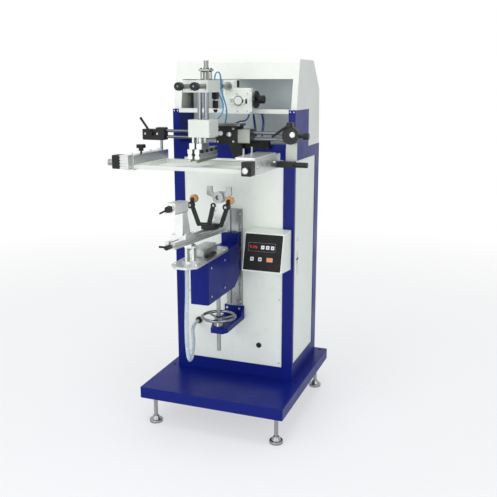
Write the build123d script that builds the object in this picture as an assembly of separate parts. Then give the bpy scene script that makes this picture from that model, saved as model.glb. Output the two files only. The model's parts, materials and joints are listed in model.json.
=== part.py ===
from build123d import *
import math
import os

# Floor-standing screen printer for round and tapered containers.
# X runs to the operator's right, Y away from the operator, Z up, all in mm.
# Sizes are written from the column's centre line; FRAME moves the whole
# machine so that its origin is the middle of its footprint on the floor.

FRAME_X = 0.0
FRAME_Y = 294.0

RUN = 0.05  # radial clearance of a shaft in its own bore
GAP = 0.3  # air between flat faces that slide past each other

# base and feet
BASE_HALF_X = 333.0
BASE_FRONT, BASE_REAR = -490.0, 259.0
BASE_LOW, BASE_T = 134.0, 50.0
FOOT_IN_X, FOOT_IN_Y = 45.0, 60.0
FOOT_PAD_R, FOOT_STEM_R = 30.0, 9.0
BOLT_IN, BOLT_HOLE_R = 30.0, 6.5
BOLT_FRONT, BOLT_REAR = -198.0, 228.0
BASE_TOP = BASE_LOW + BASE_T
BOLT_X = BASE_HALF_X - BOLT_IN

# column; the beam carries everything above it
COL_HALF_X = 283.0
COL_FRONT, COL_REAR = -196.0, 196.0
COL_WALL = 18.0
POST_X = 50.0
RAIL_H = 59.0
BEAM_LOW, BEAM_H = 1183.0, 65.0
BODY_RISE, CHEEK_RISE = 47.0, 209.0
CHEEK_W, CHEEK_REAR = 30.0, 10.0
DOOR_FRONT, DOOR_REAR = -178.0, 130.0
DOOR_STEP, DOOR_GAP = 17.0, 1.5
DOOR_SINK, DOOR_T = 2.0, 4.0
DOOR_PIN_IN, DOOR_PIN_BACK, DOOR_PIN_R = 4.0, 5.0, 1.8
LATCH_IN, LATCH_W, LATCH_Z = 40.0, 14.0, (664.0, 780.0)
PANEL_T, PANEL_SINK = 3.0, 4.0
GROMMET_X, GROMMET_Z = -172.0, 424.0
PLUG_X, PLUG_Z = 123.0, 336.0
RAIL_TOP = BASE_TOP + RAIL_H
BEAM_TOP = BEAM_LOW + BEAM_H
BODY_TOP = BEAM_LOW + BODY_RISE
CHEEK_TOP = BEAM_LOW + CHEEK_RISE
CHEEK_IN = COL_HALF_X - CHEEK_W
DOOR_LOW, DOOR_TOP = RAIL_TOP + DOOR_STEP, BEAM_LOW - 3
DOOR_OUT = COL_HALF_X - DOOR_SINK
DOOR_PIN_X, DOOR_PIN_Y = COL_HALF_X - DOOR_PIN_IN, DOOR_REAR - DOOR_PIN_BACK
PANEL_FRONT = COL_FRONT + PANEL_SINK

# hood
HOOD_RISE = 208.0
HOOD_WALL = 4.0
WINDOW_IN_LEFT, WINDOW_IN_RIGHT = 33.0, 25.0
WINDOW_LOW, WINDOW_H = 3.0, 124.0
SILL_DROP = 15.0
LINER_Y = -40.0
HOOD_TOP = CHEEK_TOP + HOOD_RISE
WINDOW_X = (WINDOW_IN_LEFT - COL_HALF_X, COL_HALF_X - WINDOW_IN_RIGHT)
WINDOW_Z = (CHEEK_TOP + WINDOW_LOW, CHEEK_TOP + WINDOW_LOW + WINDOW_H)
SILL_LOW = CHEEK_TOP - SILL_DROP

# control box
CTRL_X = (96.0, 271.0)
CTRL_Z = (708.0, 884.0)
CTRL_LIP = 14.0
CTRL_TOP_Y, CTRL_LOW_Y = -293.0, -336.0

# knee and its lift
GUIDE_X = (-26.0, 46.0)
GUIDE_T = 18.0
GUIDE_Z = (520.0, 963.0)
RAILWAY_X = (-10.0, 30.0)
RAILWAY_W, RAILWAY_H = 12.0, 8.0
KNEE_X = (-38.0, 42.0)
KNEE_FRONT, KNEE_CLEAR = -572.0, 10.0
KNEE_TOP, KNEE_H = 815.0, 186.0
UPSTAND_H, UPSTAND_T = 46.0, 20.0
SCREW_X, SCREW_Y = 3.0, -375.0
SCREW_R = 9.0
SCREW_LOW = 361.0
SHELF_TOP, SHELF_T = 477.0, 22.0
WHEEL_RISE, WHEEL_R, WHEEL_ROD = 41.0, 77.0, 6.5
SCREW_LEAD = 4.0
GUIDE_Y = PANEL_FRONT - GUIDE_T
KNEE_BACK = GUIDE_Y - KNEE_CLEAR
KNEE_LOW = KNEE_TOP - KNEE_H
UPSTAND_TOP = KNEE_TOP + UPSTAND_H
WHEEL_Z = SHELF_TOP + WHEEL_RISE

# printing jig, written from the tilt pivot; the rail drops towards the column
PLATE_T = 9.7
SADDLE_Y, SADDLE_H = (-590.0, -450.0), 40.0
LOCK_Y, LOCK_RISE = -506.0, 9.0
PIVOT_Y, PIVOT_RISE = -640.0, 59.0
TILT = 3.2
RAIL_Y = (-180.0, 318.0)
RAIL_HALF = 20.0
RAIL_Z = (19.0, 45.0)
NECK_HALF, NECK_DEEP = 4.0, 7.0
LOCK_BORE_Z = 29.0
AXIS_Z = 167.0
TAIL_BASE_Y, TAIL_BASE_HALF, TAIL_BASE_T = (-108.0, -20.0), 30.0, 17.0
TAIL_COLUMN_Y, TAIL_COLUMN_HALF = (-105.0, -36.0), 16.0
TAIL_BOX_Y, TAIL_BOX_HALF = (-177.0, -67.0), 21.0
QUILL_R, QUILL_OUT = 7.0, 12.0
CONE_R, CONE_LIP, CONE_STEP = 13.0, 3.0, 14.0
HEAD_T, HEAD_FOOT_OUT, HEAD_HALF = 28.0, 40.0, 30.0
TOWER_UNDER, TOWER_OVER = 45.0, 23.0
FORK_R, FORK_L, FORK_CUP = 24.0, 26.0, 10.0
PRONG_IN, PRONG_OUT, PRONG_RISE = 32.0, 55.0, 46.0
DRIVE_R = 8.0
ARM_BASE_Y, ARM_BASE_T = (165.0, 212.0), 21.0
SUPPORT_Y, SUPPORT_T = 186.0, 8.0
SUPPORT_W, SUPPORT_FOOT_X, SUPPORT_FOOT_RISE = 17.0, 50.0, 18.0
HUB_R, HUB_DROP, HUB_OUT = 14.0, 24.0, 14.0
ROLLER_R, ROLLER_L, ROLLER_X = 17.0, 26.0, 80.0
SPINDLE_R = 4.0
RING_X, RING_RISE, RING_R = 14.0, 95.0, 11.0
HEAD_PLATE_Y = (RAIL_Y[1] - HEAD_T, RAIL_Y[1])
ROLLER_Y = SUPPORT_Y + SUPPORT_T / 2 + GAP + ROLLER_L / 2
ROLLER_1 = (-ROLLER_X, ROLLER_Y, AXIS_Z - 2)
ROLLER_2 = (ROLLER_X, ROLLER_Y, AXIS_Z - 2)
TABLE_TOP = KNEE_TOP + GAP + PLATE_T
LOCK_Z = TABLE_TOP + LOCK_RISE
PIVOT_Z = TABLE_TOP + PIVOT_RISE

# print head, hung from the slide unit on the hood's sill
HEAD_X, HEAD_Y = 0.0, -502.0
SLIDE_X = (-19.0, 100.0)
SLIDE_T, SLIDE_H = 54.0, 94.0
FEED_Y, FEED_RISE = -223.0, 59.0
BOX_HALF = 45.0
BOX_Y = (-550.0, -455.0)
BOX_H, BOX_DROP = 67.0, 103.0
BAR_X = (-62.0, 42.0)
BAR_Y = (-552.0, -425.0)
BAR_H = 46.0
GUIDE_ROD_R, GUIDE_ROD_DX = 9.0, 14.0
PISTON_R, PISTON_Y = 4.0, -468.0
KNOB_X = (-34.0, 30.0)
KNOB_RISE = 20.0
KNOB_Y = (-655.0, -630.0)
KNOB_R, KNOB_SHAFT_R = 15.5, 6.5
FLOOD_X, SQUEEGEE_X = -34.0, -4.0
HOLDER_Y = (-558.0, -375.0)
HOLDER_H, HOLDER_DROP = 38.0, 46.0
BLADE_OUT = 14.0
HOLDER_ROD_R = 5.0
SLIDE_Y = (COL_FRONT - SLIDE_T, COL_FRONT)
SLIDE_Z = (SILL_LOW, SILL_LOW + SLIDE_H)
FEED_Z = SLIDE_Z[0] + FEED_RISE
KNOB_Z = SLIDE_Z[1] + KNOB_RISE
BAR_Z = (KNOB_Z - BAR_H / 2, KNOB_Z + BAR_H / 2)
BOX_Z = (BAR_Z[0] - BOX_DROP - BOX_H, BAR_Z[0] - BOX_DROP)
HOLDER_Z = (BOX_Z[0] - HOLDER_DROP - HOLDER_H, BOX_Z[0] - HOLDER_DROP)
BLADE_LOW = HOLDER_Z[0] - BLADE_OUT

# screen carriage, hung from the beam
ROD_Y, ROD_RISE, ROD_PITCH = -310.0, 56.0, 25.0
ROD_R = 6.5
BLOCK_X = (-12.0, 80.0)
BLOCK_Y = (-350.0, -270.0)
BLOCK_UNDER, BLOCK_OVER = 21.0, 28.0
ARM_Y = (-600.0, -296.0)
ARM_DROP, ARM_H = 80.0, 58.0
LEFT_ARM_X = (-300.0, -260.0)
RIGHT_ARM_X = (210.0, 250.0)
FRAME_RISE, FRAME_T = 6.0, 16.0
FRAME_IN = 15.0
SCREEN_Y = (-600.0, -330.0)
WINDOW_IN = (-235.0, 185.0)
WINDOW_IN_Y = (-574.0, -358.0)
MESH_T = 0.8
LEFT_CLAMP_X = (-365.0, -262.0)
CLAMP_X, CLAMP_RISE, CLAMP_R = 302.0, 18.0, 35.0
CLAMP_Y = (-331.0, -290.0)
STAR_IN, STAR_Y = 20.0, -500.0
LEVER_L_IN, LEVER_L_RISE = 45.0, 14.0
LEVER_R_IN, LEVER_R_RISE = 4.0, 43.0
ROD_Z = (BEAM_TOP + ROD_RISE, BEAM_TOP + ROD_RISE - ROD_PITCH)
BLOCK_Z = (ROD_Z[1] - BLOCK_UNDER, ROD_Z[0] + BLOCK_OVER)
ARM_Z = (ROD_Z[0] - ARM_DROP - ARM_H, ROD_Z[0] - ARM_DROP)
FRAME_Z = (ARM_Z[0] + FRAME_RISE, ARM_Z[0] + FRAME_RISE + FRAME_T)
CLAMP_Z = ROD_Z[1] + CLAMP_RISE
STAR_X = LEFT_ARM_X[0] + STAR_IN
LEVER_L = (LEFT_CLAMP_X[0] + LEVER_L_IN, ROD_Z[1] + LEVER_L_RISE)
LEVER_R = (CLAMP_X - LEVER_R_IN, CLAMP_Z + LEVER_R_RISE)

# air hose from under the table to the front panel
HOSE_R = 8.0
HOSE_TOP_Z = 803.0
HOSE_ROUTE = [
    (3.0, -683.0, HOSE_TOP_Z),
    (3.0, -683.0, 715.0),
    (-3.0, -687.0, 585.0),
    (-6.0, -676.0, 470.0),
    (-24.0, -618.0, 396.0),
    (-66.0, -500.0, 376.0),
    (-118.0, -372.0, 388.0),
    (-172.0, -280.0, 424.0),
    (-172.0, -197.0, 424.0),
]
# ---- end of the driving sizes


def block(x, y, z):
    """Box between two limits on each axis."""
    centre = Pos((x[0] + x[1]) / 2, (y[0] + y[1]) / 2, (z[0] + z[1]) / 2)
    return centre * Box(x[1] - x[0], y[1] - y[0], z[1] - z[0])


def soft_block(x, y, z, radius, axis=Axis.Z):
    """Box with its four edges along one axis rounded."""
    body = block(x, y, z)
    return fillet(body.edges().filter_by(axis), radius)


def rod_x(radius, x, y, z):
    return Pos((x[0] + x[1]) / 2, y, z) * Rot(0, 90, 0) * Cylinder(radius, x[1] - x[0])


def rod_y(radius, x, y, z):
    return Pos(x, (y[0] + y[1]) / 2, z) * Rot(90, 0, 0) * Cylinder(radius, y[1] - y[0])


def rod_z(radius, x, y, z):
    return Pos(x, y, (z[0] + z[1]) / 2) * Cylinder(radius, z[1] - z[0])


def side_profile(points, x):
    """Outline in the YZ plane, extruded between two X limits."""
    face = make_face(Polyline(*[(x[0], py, pz) for py, pz in points], close=True))
    return extrude(face, amount=x[1] - x[0], dir=(1, 0, 0))


def front_profile(points, y):
    """Outline in the XZ plane, extruded between two Y limits."""
    face = make_face(Polyline(*[(px, y[0], pz) for px, pz in points], close=True))
    return extrude(face, amount=y[1] - y[0], dir=(0, 1, 0))


def plan_profile(points, z):
    """Outline in the XY plane, extruded between two Z limits."""
    face = make_face(Polyline(*[(px, py, z[0]) for px, py in points], close=True))
    return extrude(face, amount=z[1] - z[0], dir=(0, 0, 1))


def bar_between(a, b, radius):
    """Round bar from point a to point b."""
    start, end = Vector(*a), Vector(*b)
    plane = Plane(origin=start, z_dir=end - start)
    return extrude(plane * Circle(radius), amount=(end - start).length)


def hex_prism(across, x, y, z):
    """Upright hexagon nut between two heights."""
    sketch = Plane.XY.offset(z[0]) * Pos(x, y) * RegularPolygon(across / math.sqrt(3), 6)
    return extrude(sketch, amount=z[1] - z[0])


def fluted_knob(radius, height, lobes):
    """Hand knob standing on the XY plane with scallops round its rim."""
    body = Cylinder(radius, height, align=(Align.CENTER, Align.CENTER, Align.MIN))
    body = fillet(body.edges().group_by(Axis.Z)[-1], min(2.5, height / 4))
    ring = PolarLocations(radius * 1.16, lobes)
    return body - [spot * Cylinder(radius * 0.26, height * 3) for spot in ring]


nodes = {}

# ---------------------------------------------------------------- base
tray = soft_block((-BASE_HALF_X, BASE_HALF_X), (BASE_FRONT, BASE_REAR), (BASE_LOW, BASE_TOP), 6)
tray = fillet(tray.faces().sort_by(Axis.Z)[-1].outer_wire().edges(), 3)
bolt_spots = [(sx * BOLT_X, by) for sx in (-1, 1) for by in (BOLT_FRONT, BOLT_REAR)]
for bx, by in bolt_spots:
    tray = tray - rod_z(BOLT_HOLE_R, bx, by, (BASE_LOW - 1, BASE_TOP + 1))
nodes["base_tray"] = tray

foot_spots = [(sx * (BASE_HALF_X - FOOT_IN_X), fy) for sx in (-1, 1)
              for fy in (BASE_FRONT + FOOT_IN_Y, BASE_REAR - FOOT_IN_Y)]
feet = []
for fx, fy in foot_spots:
    pad = Cylinder(FOOT_PAD_R, 14, align=(Align.CENTER, Align.CENTER, Align.MIN))
    pad = fillet(pad.edges().group_by(Axis.Z)[-1], 4)
    collar = Pos(0, 0, 14) * Cone(21, 13, 16, align=(Align.CENTER, Align.CENTER, Align.MIN))
    stem = rod_z(FOOT_STEM_R, 0, 0, (20, BASE_LOW))
    nut = hex_prism(30, 0, 0, (BASE_LOW - 16, BASE_LOW))
    feet.append(Pos(fx, fy, 0) * (pad + collar + stem + nut))
nodes["levelling_feet"] = Compound(feet)

# ---------------------------------------------------------------- column
inside_x = COL_HALF_X - COL_WALL
shell = block((-COL_HALF_X, COL_HALF_X), (COL_FRONT, COL_REAR), (BASE_TOP, BODY_TOP))
shell = shell - block((-inside_x, inside_x), (COL_FRONT + COL_WALL, COL_REAR - COL_WALL),
                      (BASE_TOP + 20, BODY_TOP + 1))
panel_x = COL_HALF_X - POST_X
shell = shell - block((-panel_x, panel_x), (COL_FRONT - 1, COL_REAR + 1), (RAIL_TOP, BEAM_LOW))
shell = shell - block((-COL_HALF_X - 1, COL_HALF_X + 1), (DOOR_FRONT, DOOR_REAR),
                      (DOOR_LOW, DOOR_TOP))
beam = block((-COL_HALF_X, COL_HALF_X), (COL_FRONT, COL_FRONT + 36), (BEAM_LOW, BEAM_TOP))
shell = shell + beam
for side in (-1, 1):
    cheek_x = sorted((side * CHEEK_IN, side * COL_HALF_X))
    cheek = block(cheek_x, (COL_FRONT, CHEEK_REAR), (BODY_TOP, CHEEK_TOP))
    shell = shell + cheek
pin_sockets = [(DOOR_LOW - 8, DOOR_LOW + 1), (DOOR_TOP - 1, DOOR_TOP + 8)]
for socket in pin_sockets:
    shell = shell - rod_z(DOOR_PIN_R + RUN, DOOR_PIN_X, DOOR_PIN_Y, socket)
nodes["column_frame"] = shell

front = block((-panel_x, panel_x), (PANEL_FRONT, PANEL_FRONT + PANEL_T), (RAIL_TOP, BEAM_LOW))
front = front + rod_y(HOSE_R + 6, GROMMET_X, (HOSE_ROUTE[-1][1], PANEL_FRONT), GROMMET_Z)
front = front - rod_y(7, PLUG_X, (PANEL_FRONT - 8, PANEL_FRONT + 12), PLUG_Z)
rear_y = (COL_REAR - PANEL_SINK - PANEL_T, COL_REAR - PANEL_SINK)
rear = block((-panel_x, panel_x), rear_y, (RAIL_TOP, BEAM_LOW))
left = block((-DOOR_OUT, -DOOR_OUT + PANEL_T), (DOOR_FRONT, DOOR_REAR), (DOOR_LOW, DOOR_TOP))
for row in range(6):
    slit_z = (DOOR_LOW + 60 + 24 * row, DOOR_LOW + 68 + 24 * row)
    left = left - soft_block((-DOOR_OUT - 9, -DOOR_OUT + 11), (-110, 62), slit_z, 3, Axis.X)
nodes["cover_panels"] = Compound([front, rear, left])

door = block((DOOR_OUT - DOOR_T, DOOR_OUT), (DOOR_FRONT + DOOR_GAP, DOOR_REAR - DOOR_GAP),
             (DOOR_LOW + DOOR_GAP, DOOR_TOP - DOOR_GAP))
latch_y = (DOOR_FRONT + LATCH_IN, DOOR_FRONT + LATCH_IN + LATCH_W)
door = door - soft_block((DOOR_OUT - 11, DOOR_OUT + 9), latch_y, LATCH_Z, 5, Axis.X)
pocket = soft_block((DOOR_OUT - DOOR_T - 8, DOOR_OUT - DOOR_T), (latch_y[0] - 4, latch_y[1] + 4),
                    (LATCH_Z[0] - 4, LATCH_Z[1] + 4), 5, Axis.X)
pocket = pocket - soft_block((DOOR_OUT - DOOR_T - 6, DOOR_OUT + 9), latch_y, LATCH_Z, 5, Axis.X)
pin_ends = [(DOOR_LOW - 7, DOOR_LOW + 8), (DOOR_TOP - 8, DOOR_TOP + 7)]
for ends in pin_ends:
    door = door + rod_z(DOOR_PIN_R, DOOR_PIN_X, DOOR_PIN_Y, ends)
nodes["side_door"] = door + pocket

# ---------------------------------------------------------------- hood
outer = [(-180, CHEEK_TOP), (-141, HOOD_TOP), (72, HOOD_TOP), (180, HOOD_TOP - 125), (190, BODY_TOP),
         (CHEEK_REAR, BODY_TOP), (CHEEK_REAR, CHEEK_TOP)]
inner_top = HOOD_TOP - HOOD_WALL
inner = [(-176, CHEEK_TOP - 12), (-137.7, inner_top), (70.2, inner_top), (176, inner_top - 122.6),
         (186.2, BODY_TOP - 10), (CHEEK_REAR + HOOD_WALL, BODY_TOP - 10),
         (CHEEK_REAR + HOOD_WALL, CHEEK_TOP - 12)]
hood = side_profile(outer, (-COL_HALF_X, COL_HALF_X))
hood = fillet(hood.edges().filter_by(Axis.X).group_by(Axis.Z)[-1], 12)
hood_in = COL_HALF_X - HOOD_WALL
hood = hood - side_profile(inner, (-hood_in, hood_in))
hood = hood - block(WINDOW_X, (-200, -100), WINDOW_Z)
sill = block((-CHEEK_IN, CHEEK_IN), (COL_FRONT, -172), (SILL_LOW, WINDOW_Z[0]))
nodes["hood"] = hood + sill

liner = block((-CHEEK_IN, CHEEK_IN), (LINER_Y, LINER_Y + PANEL_T), (BODY_TOP + 6, HOOD_TOP - 40))
nodes["inner_panel"] = liner

# ---------------------------------------------------------------- control box
ctrl = side_profile([(COL_FRONT, CTRL_Z[0]), (CTRL_LOW_Y, CTRL_Z[0] + CTRL_LIP), (CTRL_TOP_Y, CTRL_Z[1]),
                     (COL_FRONT, CTRL_Z[1])], CTRL_X)
ctrl = fillet(ctrl.edges().filter_by(Axis.X).sort_by(Axis.Y)[0:2], 3)
nodes["control_box"] = ctrl

slope = Vector(0, CTRL_TOP_Y - CTRL_LOW_Y, CTRL_Z[1] - CTRL_Z[0] - CTRL_LIP)
face_mid = Vector((CTRL_X[0] + CTRL_X[1]) / 2, (CTRL_TOP_Y + CTRL_LOW_Y) / 2,
                  (CTRL_Z[0] + CTRL_LIP + CTRL_Z[1]) / 2)
face_plane = Plane(origin=face_mid, x_dir=(1, 0, 0), z_dir=Vector(1, 0, 0).cross(slope))
FACE_W, FACE_H, FACE_T = 167.0, 155.0, 1.5
face_skin = extrude(face_plane * RectangleRounded(FACE_W, FACE_H, 4), amount=FACE_T)
skin_plane = face_plane.offset(FACE_T)
KEY_ROW_1, KEY_ROW_2 = 22.0, -29.0
key_spots = [(-2, KEY_ROW_1), (20, KEY_ROW_1), (42, KEY_ROW_1), (-46, KEY_ROW_2), (-10, KEY_ROW_2)]
keys = [extrude(skin_plane * Pos(kx, ky) * RectangleRounded(15, 16, 2), amount=1.2)
        for kx, ky in key_spots]
keys.append(extrude(skin_plane * Pos(33, KEY_ROW_2) * RectangleRounded(27, 18, 3), amount=1.2))
nodes["key_pads"] = Compound(keys)
bezel = extrude(skin_plane * Pos(-43, KEY_ROW_1) * Rectangle(42, 18), amount=1.0)
bezel = bezel - extrude(skin_plane.offset(0.5) * Pos(-43, KEY_ROW_1) * Rectangle(37, 13), amount=1.0)
nodes["control_face"] = face_skin + bezel

# ---------------------------------------------------------------- knee lift
plate = block(GUIDE_X, (GUIDE_Y, PANEL_FRONT), GUIDE_Z)
for rx in RAILWAY_X:
    way = block((rx - RAILWAY_W / 2, rx + RAILWAY_W / 2), (GUIDE_Y - RAILWAY_H, GUIDE_Y),
                (GUIDE_Z[0] + 6, GUIDE_Z[1] - 6))
    plate = plate + way
nodes["guide_plate"] = plate

knee = side_profile([(KNEE_FRONT, KNEE_LOW), (KNEE_BACK - 63, KNEE_LOW), (KNEE_BACK, KNEE_LOW + 43),
                     (KNEE_BACK, UPSTAND_TOP), (KNEE_BACK - UPSTAND_T, UPSTAND_TOP),
                     (KNEE_BACK - UPSTAND_T, KNEE_TOP), (KNEE_FRONT, KNEE_TOP)], KNEE_X)
front_corners = knee.edges().filter_by(Axis.Z).group_by(Axis.Y)[0]
knee = fillet(front_corners, 8)
for rx in RAILWAY_X:
    for low in (KNEE_LOW + 61, KNEE_TOP - 15):
        shoe = block((rx - 15, rx + 15), (KNEE_BACK, GUIDE_Y - GAP), (low, low + 50))
        slot = block((rx - RAILWAY_W / 2 - GAP, rx + RAILWAY_W / 2 + GAP),
                     (KNEE_BACK - 2, GUIDE_Y), (low - 1, low + 51))
        knee = knee + (shoe - slot)
nodes["knee_box"] = knee

screw = rod_z(SCREW_R, SCREW_X, SCREW_Y, (SCREW_LOW, KNEE_LOW - 10))
screw = screw + rod_z(22, SCREW_X, SCREW_Y, (KNEE_LOW - 10, KNEE_LOW))
screw = chamfer(screw.edges().group_by(Axis.Z)[0], 1.5)
nodes["lift_screw"] = screw

SHELF_X = (-40.0, 33.0)
shelf_low = SHELF_TOP - SHELF_T
shelf = plan_profile([(SHELF_X[0], PANEL_FRONT), (SHELF_X[0], -340), (SHELF_X[0] + 24, -420),
                      (SHELF_X[1] + 6, -420), (SHELF_X[1] + 20, -396), (SHELF_X[1] + 20, PANEL_FRONT)],
                     (shelf_low, SHELF_TOP))
flange_y = PANEL_FRONT - 10
flange = block((SHELF_X[0], SHELF_X[1] + 20), (flange_y, PANEL_FRONT), (shelf_low, SHELF_TOP + 40))
web = side_profile([(flange_y, SHELF_TOP), (flange_y, SHELF_TOP + 38), (flange_y - 30, SHELF_TOP)],
                   (SHELF_X[1] + 12, SHELF_X[1] + 20))
shelf = shelf + flange + web
shelf = shelf - rod_z(SCREW_R + 2, SCREW_X, SCREW_Y, (shelf_low - 1, SHELF_TOP + 1))
nodes["shelf_bracket"] = shelf

wheel = Pos(SCREW_X, SCREW_Y, WHEEL_Z) * Torus(WHEEL_R - WHEEL_ROD, WHEEL_ROD)
hub_low = SHELF_TOP + GAP
hub = Pos(SCREW_X, SCREW_Y, hub_low) * Cone(22, 15, WHEEL_Z + 6 - hub_low,
                                           align=(Align.CENTER, Align.CENTER, Align.MIN))
for turn in range(3):
    angle = math.radians(30 + 120 * turn)
    reach = (SCREW_X + math.cos(angle) * (WHEEL_R - WHEEL_ROD),
             SCREW_Y + math.sin(angle) * (WHEEL_R - WHEEL_ROD), WHEEL_Z)
    hub = hub + bar_between((SCREW_X, SCREW_Y, WHEEL_Z - 14), reach, 5)
wheel = wheel + hub
wheel = wheel - rod_z(SCREW_R + RUN, SCREW_X, SCREW_Y, (hub_low - 1, WHEEL_Z + 10))
nodes["handwheel"] = wheel

# ---------------------------------------------------------------- table
plate_low = TABLE_TOP - PLATE_T
table = plan_profile([(-55, -700), (-24, -733), (24, -733), (55, -700), (55, -390), (36, -350),
                      (-36, -350), (-55, -390)], (plate_low, TABLE_TOP))
table = fillet(table.edges().filter_by(Axis.Z), 5)

fitting = rod_z(24, SCREW_X, -683, (plate_low - 5, plate_low))
fitting = fitting + hex_prism(19, SCREW_X, -683, (HOSE_TOP_Z, plate_low - 5))

saddle_top = TABLE_TOP + SADDLE_H
saddle = front_profile([(-32, TABLE_TOP), (32, TABLE_TOP), (32, saddle_top - 5), (24, saddle_top - 5),
                        (24, saddle_top), (-24, saddle_top), (-24, saddle_top - 5),
                        (-32, saddle_top - 5)], SADDLE_Y)
saddle = saddle - rod_x(4 + RUN, (18, 40), LOCK_Y, LOCK_Z)
nodes["table_plate"] = table + fitting + saddle

lock = rod_x(4, (20, 38), LOCK_Y, LOCK_Z) + rod_x(7, (36, 44), LOCK_Y, LOCK_Z)
lock = lock + rod_y(6, 44, (LOCK_Y - 76, LOCK_Y + 4), LOCK_Z)
nodes["table_lock_lever"] = lock

cradle = rod_z(36, 0, PIVOT_Y, (TABLE_TOP, TABLE_TOP + 8))
for side in (-1, 1):
    ear_x = sorted((side * (9 + GAP), side * 19))
    ear = block(ear_x, (PIVOT_Y - 12, PIVOT_Y + 12), (TABLE_TOP + 8, PIVOT_Z))
    ear = ear + rod_x(12, ear_x, PIVOT_Y, PIVOT_Z)
    cradle = cradle + ear
cradle = cradle + rod_x(5, (-26, 26), PIVOT_Y, PIVOT_Z)
nodes["tilt_cradle"] = cradle

# ---------------------------------------------------------------- jig, in its own axes
rail = block((-RAIL_HALF, RAIL_HALF), RAIL_Y, RAIL_Z)
rail_cut = (RAIL_Y[0] - 1, RAIL_Y[1] + 1)
for side in (-1, 1):
    groove_x = sorted((side * (RAIL_HALF - 6), side * (RAIL_HALF + 1)))
    rail = rail - block(groove_x, rail_cut, (RAIL_Z[0] + 10, RAIL_Z[0] + 16))
rail = rail - block((-NECK_HALF, NECK_HALF), rail_cut, (RAIL_Z[1] - NECK_DEEP, RAIL_Z[1] + 1))
lug = block((-9, 9), (-12, 12), (0, RAIL_Z[0])) + rod_x(12, (-9, 9), 0, 0)
rail = rail + lug - rod_x(5 + RUN, (-12, 12), 0, 0)
rail = rail - rod_y(4 + RUN, 0, (RAIL_Y[0] - 1, RAIL_Y[0] + 30), LOCK_BORE_Z)

rail_knob = rod_y(4, 0, (RAIL_Y[0] - 6, RAIL_Y[0] + 26), LOCK_BORE_Z)
rail_knob = rail_knob + rod_y(9, 0, (RAIL_Y[0] - 28, RAIL_Y[0] - 2), LOCK_BORE_Z)
rail_knob = rail_knob + rod_x(4, (-34, 8), RAIL_Y[0] - 16, LOCK_BORE_Z)

tail_base_top = RAIL_Z[1] + TAIL_BASE_T
tail_box_low = AXIS_Z - TAIL_BOX_HALF
tail = block((-TAIL_BASE_HALF, TAIL_BASE_HALF), TAIL_BASE_Y, (RAIL_Z[1], tail_base_top))
tail = tail + side_profile([(TAIL_COLUMN_Y[0], tail_base_top), (TAIL_COLUMN_Y[1], tail_base_top),
                            (TAIL_BOX_Y[1], tail_box_low), (TAIL_COLUMN_Y[0], tail_box_low)],
                           (-TAIL_COLUMN_HALF, TAIL_COLUMN_HALF))
tail = tail + soft_block((-TAIL_BOX_HALF, TAIL_BOX_HALF), TAIL_BOX_Y,
                         (tail_box_low, AXIS_Z + TAIL_BOX_HALF), 5, Axis.Y)
tail = tail - rod_y(QUILL_R + RUN, 0, (TAIL_BOX_Y[0] - 1, TAIL_BOX_Y[1] + 1), AXIS_Z)

QUILL_Y = (TAIL_BOX_Y[0] + 20, TAIL_BOX_Y[1] + QUILL_OUT)
quill = rod_y(QUILL_R, 0, QUILL_Y, AXIS_Z)
quill = quill - rod_y(3 + RUN, 0, (QUILL_Y[1] - 20, QUILL_Y[1] + 1), AXIS_Z)

cone_y = QUILL_Y[1] + GAP
lifted = (Align.CENTER, Align.CENTER, Align.MIN)
cone = Pos(0, cone_y, AXIS_Z) * Rot(-90, 0, 0) * Cone(CONE_R + CONE_LIP, CONE_R, CONE_STEP, align=lifted)
tip = Pos(0, cone_y + CONE_STEP, AXIS_Z) * Rot(-90, 0, 0) * Cone(CONE_R, 5, CONE_STEP, align=lifted)
cone = cone + tip + rod_y(3, 0, (cone_y - 18, cone_y + 1), AXIS_Z)

tail_knob = Pos(0, TAIL_BOX_Y[0] - GAP, AXIS_Z) * Rot(90, 0, 0) * fluted_knob(12, 22, 6)
tail_knob = tail_knob + rod_y(QUILL_R, 0, (TAIL_BOX_Y[0] - 4, TAIL_BOX_Y[0] + 16), AXIS_Z)
crank_y = TAIL_BOX_Y[0] - 15
tail_knob = tail_knob + bar_between((0, crank_y, AXIS_Z), (-34, crank_y, AXIS_Z - 17), 3.5)

tower_low = AXIS_Z - TOWER_UNDER
tower_top = AXIS_Z + TOWER_OVER
foot_y = RAIL_Y[1] - HEAD_T - HEAD_FOOT_OUT
head = side_profile([(foot_y, RAIL_Z[1]), (RAIL_Y[1], RAIL_Z[1]), (RAIL_Y[1], tower_low),
                     (HEAD_PLATE_Y[0], tower_low), (HEAD_PLATE_Y[0], tail_base_top), (foot_y, tail_base_top)],
                    (-HEAD_HALF, HEAD_HALF))
head = head + front_profile([(-HEAD_HALF, tower_low), (HEAD_HALF, tower_low), (HEAD_HALF - 4, tower_top - 13),
                             (14, tower_top), (-14, tower_top), (4 - HEAD_HALF, tower_top - 13)], HEAD_PLATE_Y)
head = head + block((-22, 22), (RAIL_Y[1], RAIL_Y[1] + 10), (RAIL_Z[0] - 3, RAIL_Z[1] + 15))
head = head - rod_y(DRIVE_R + RUN, 0, (HEAD_PLATE_Y[0] - 1, HEAD_PLATE_Y[1] + 1), AXIS_Z)

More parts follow.
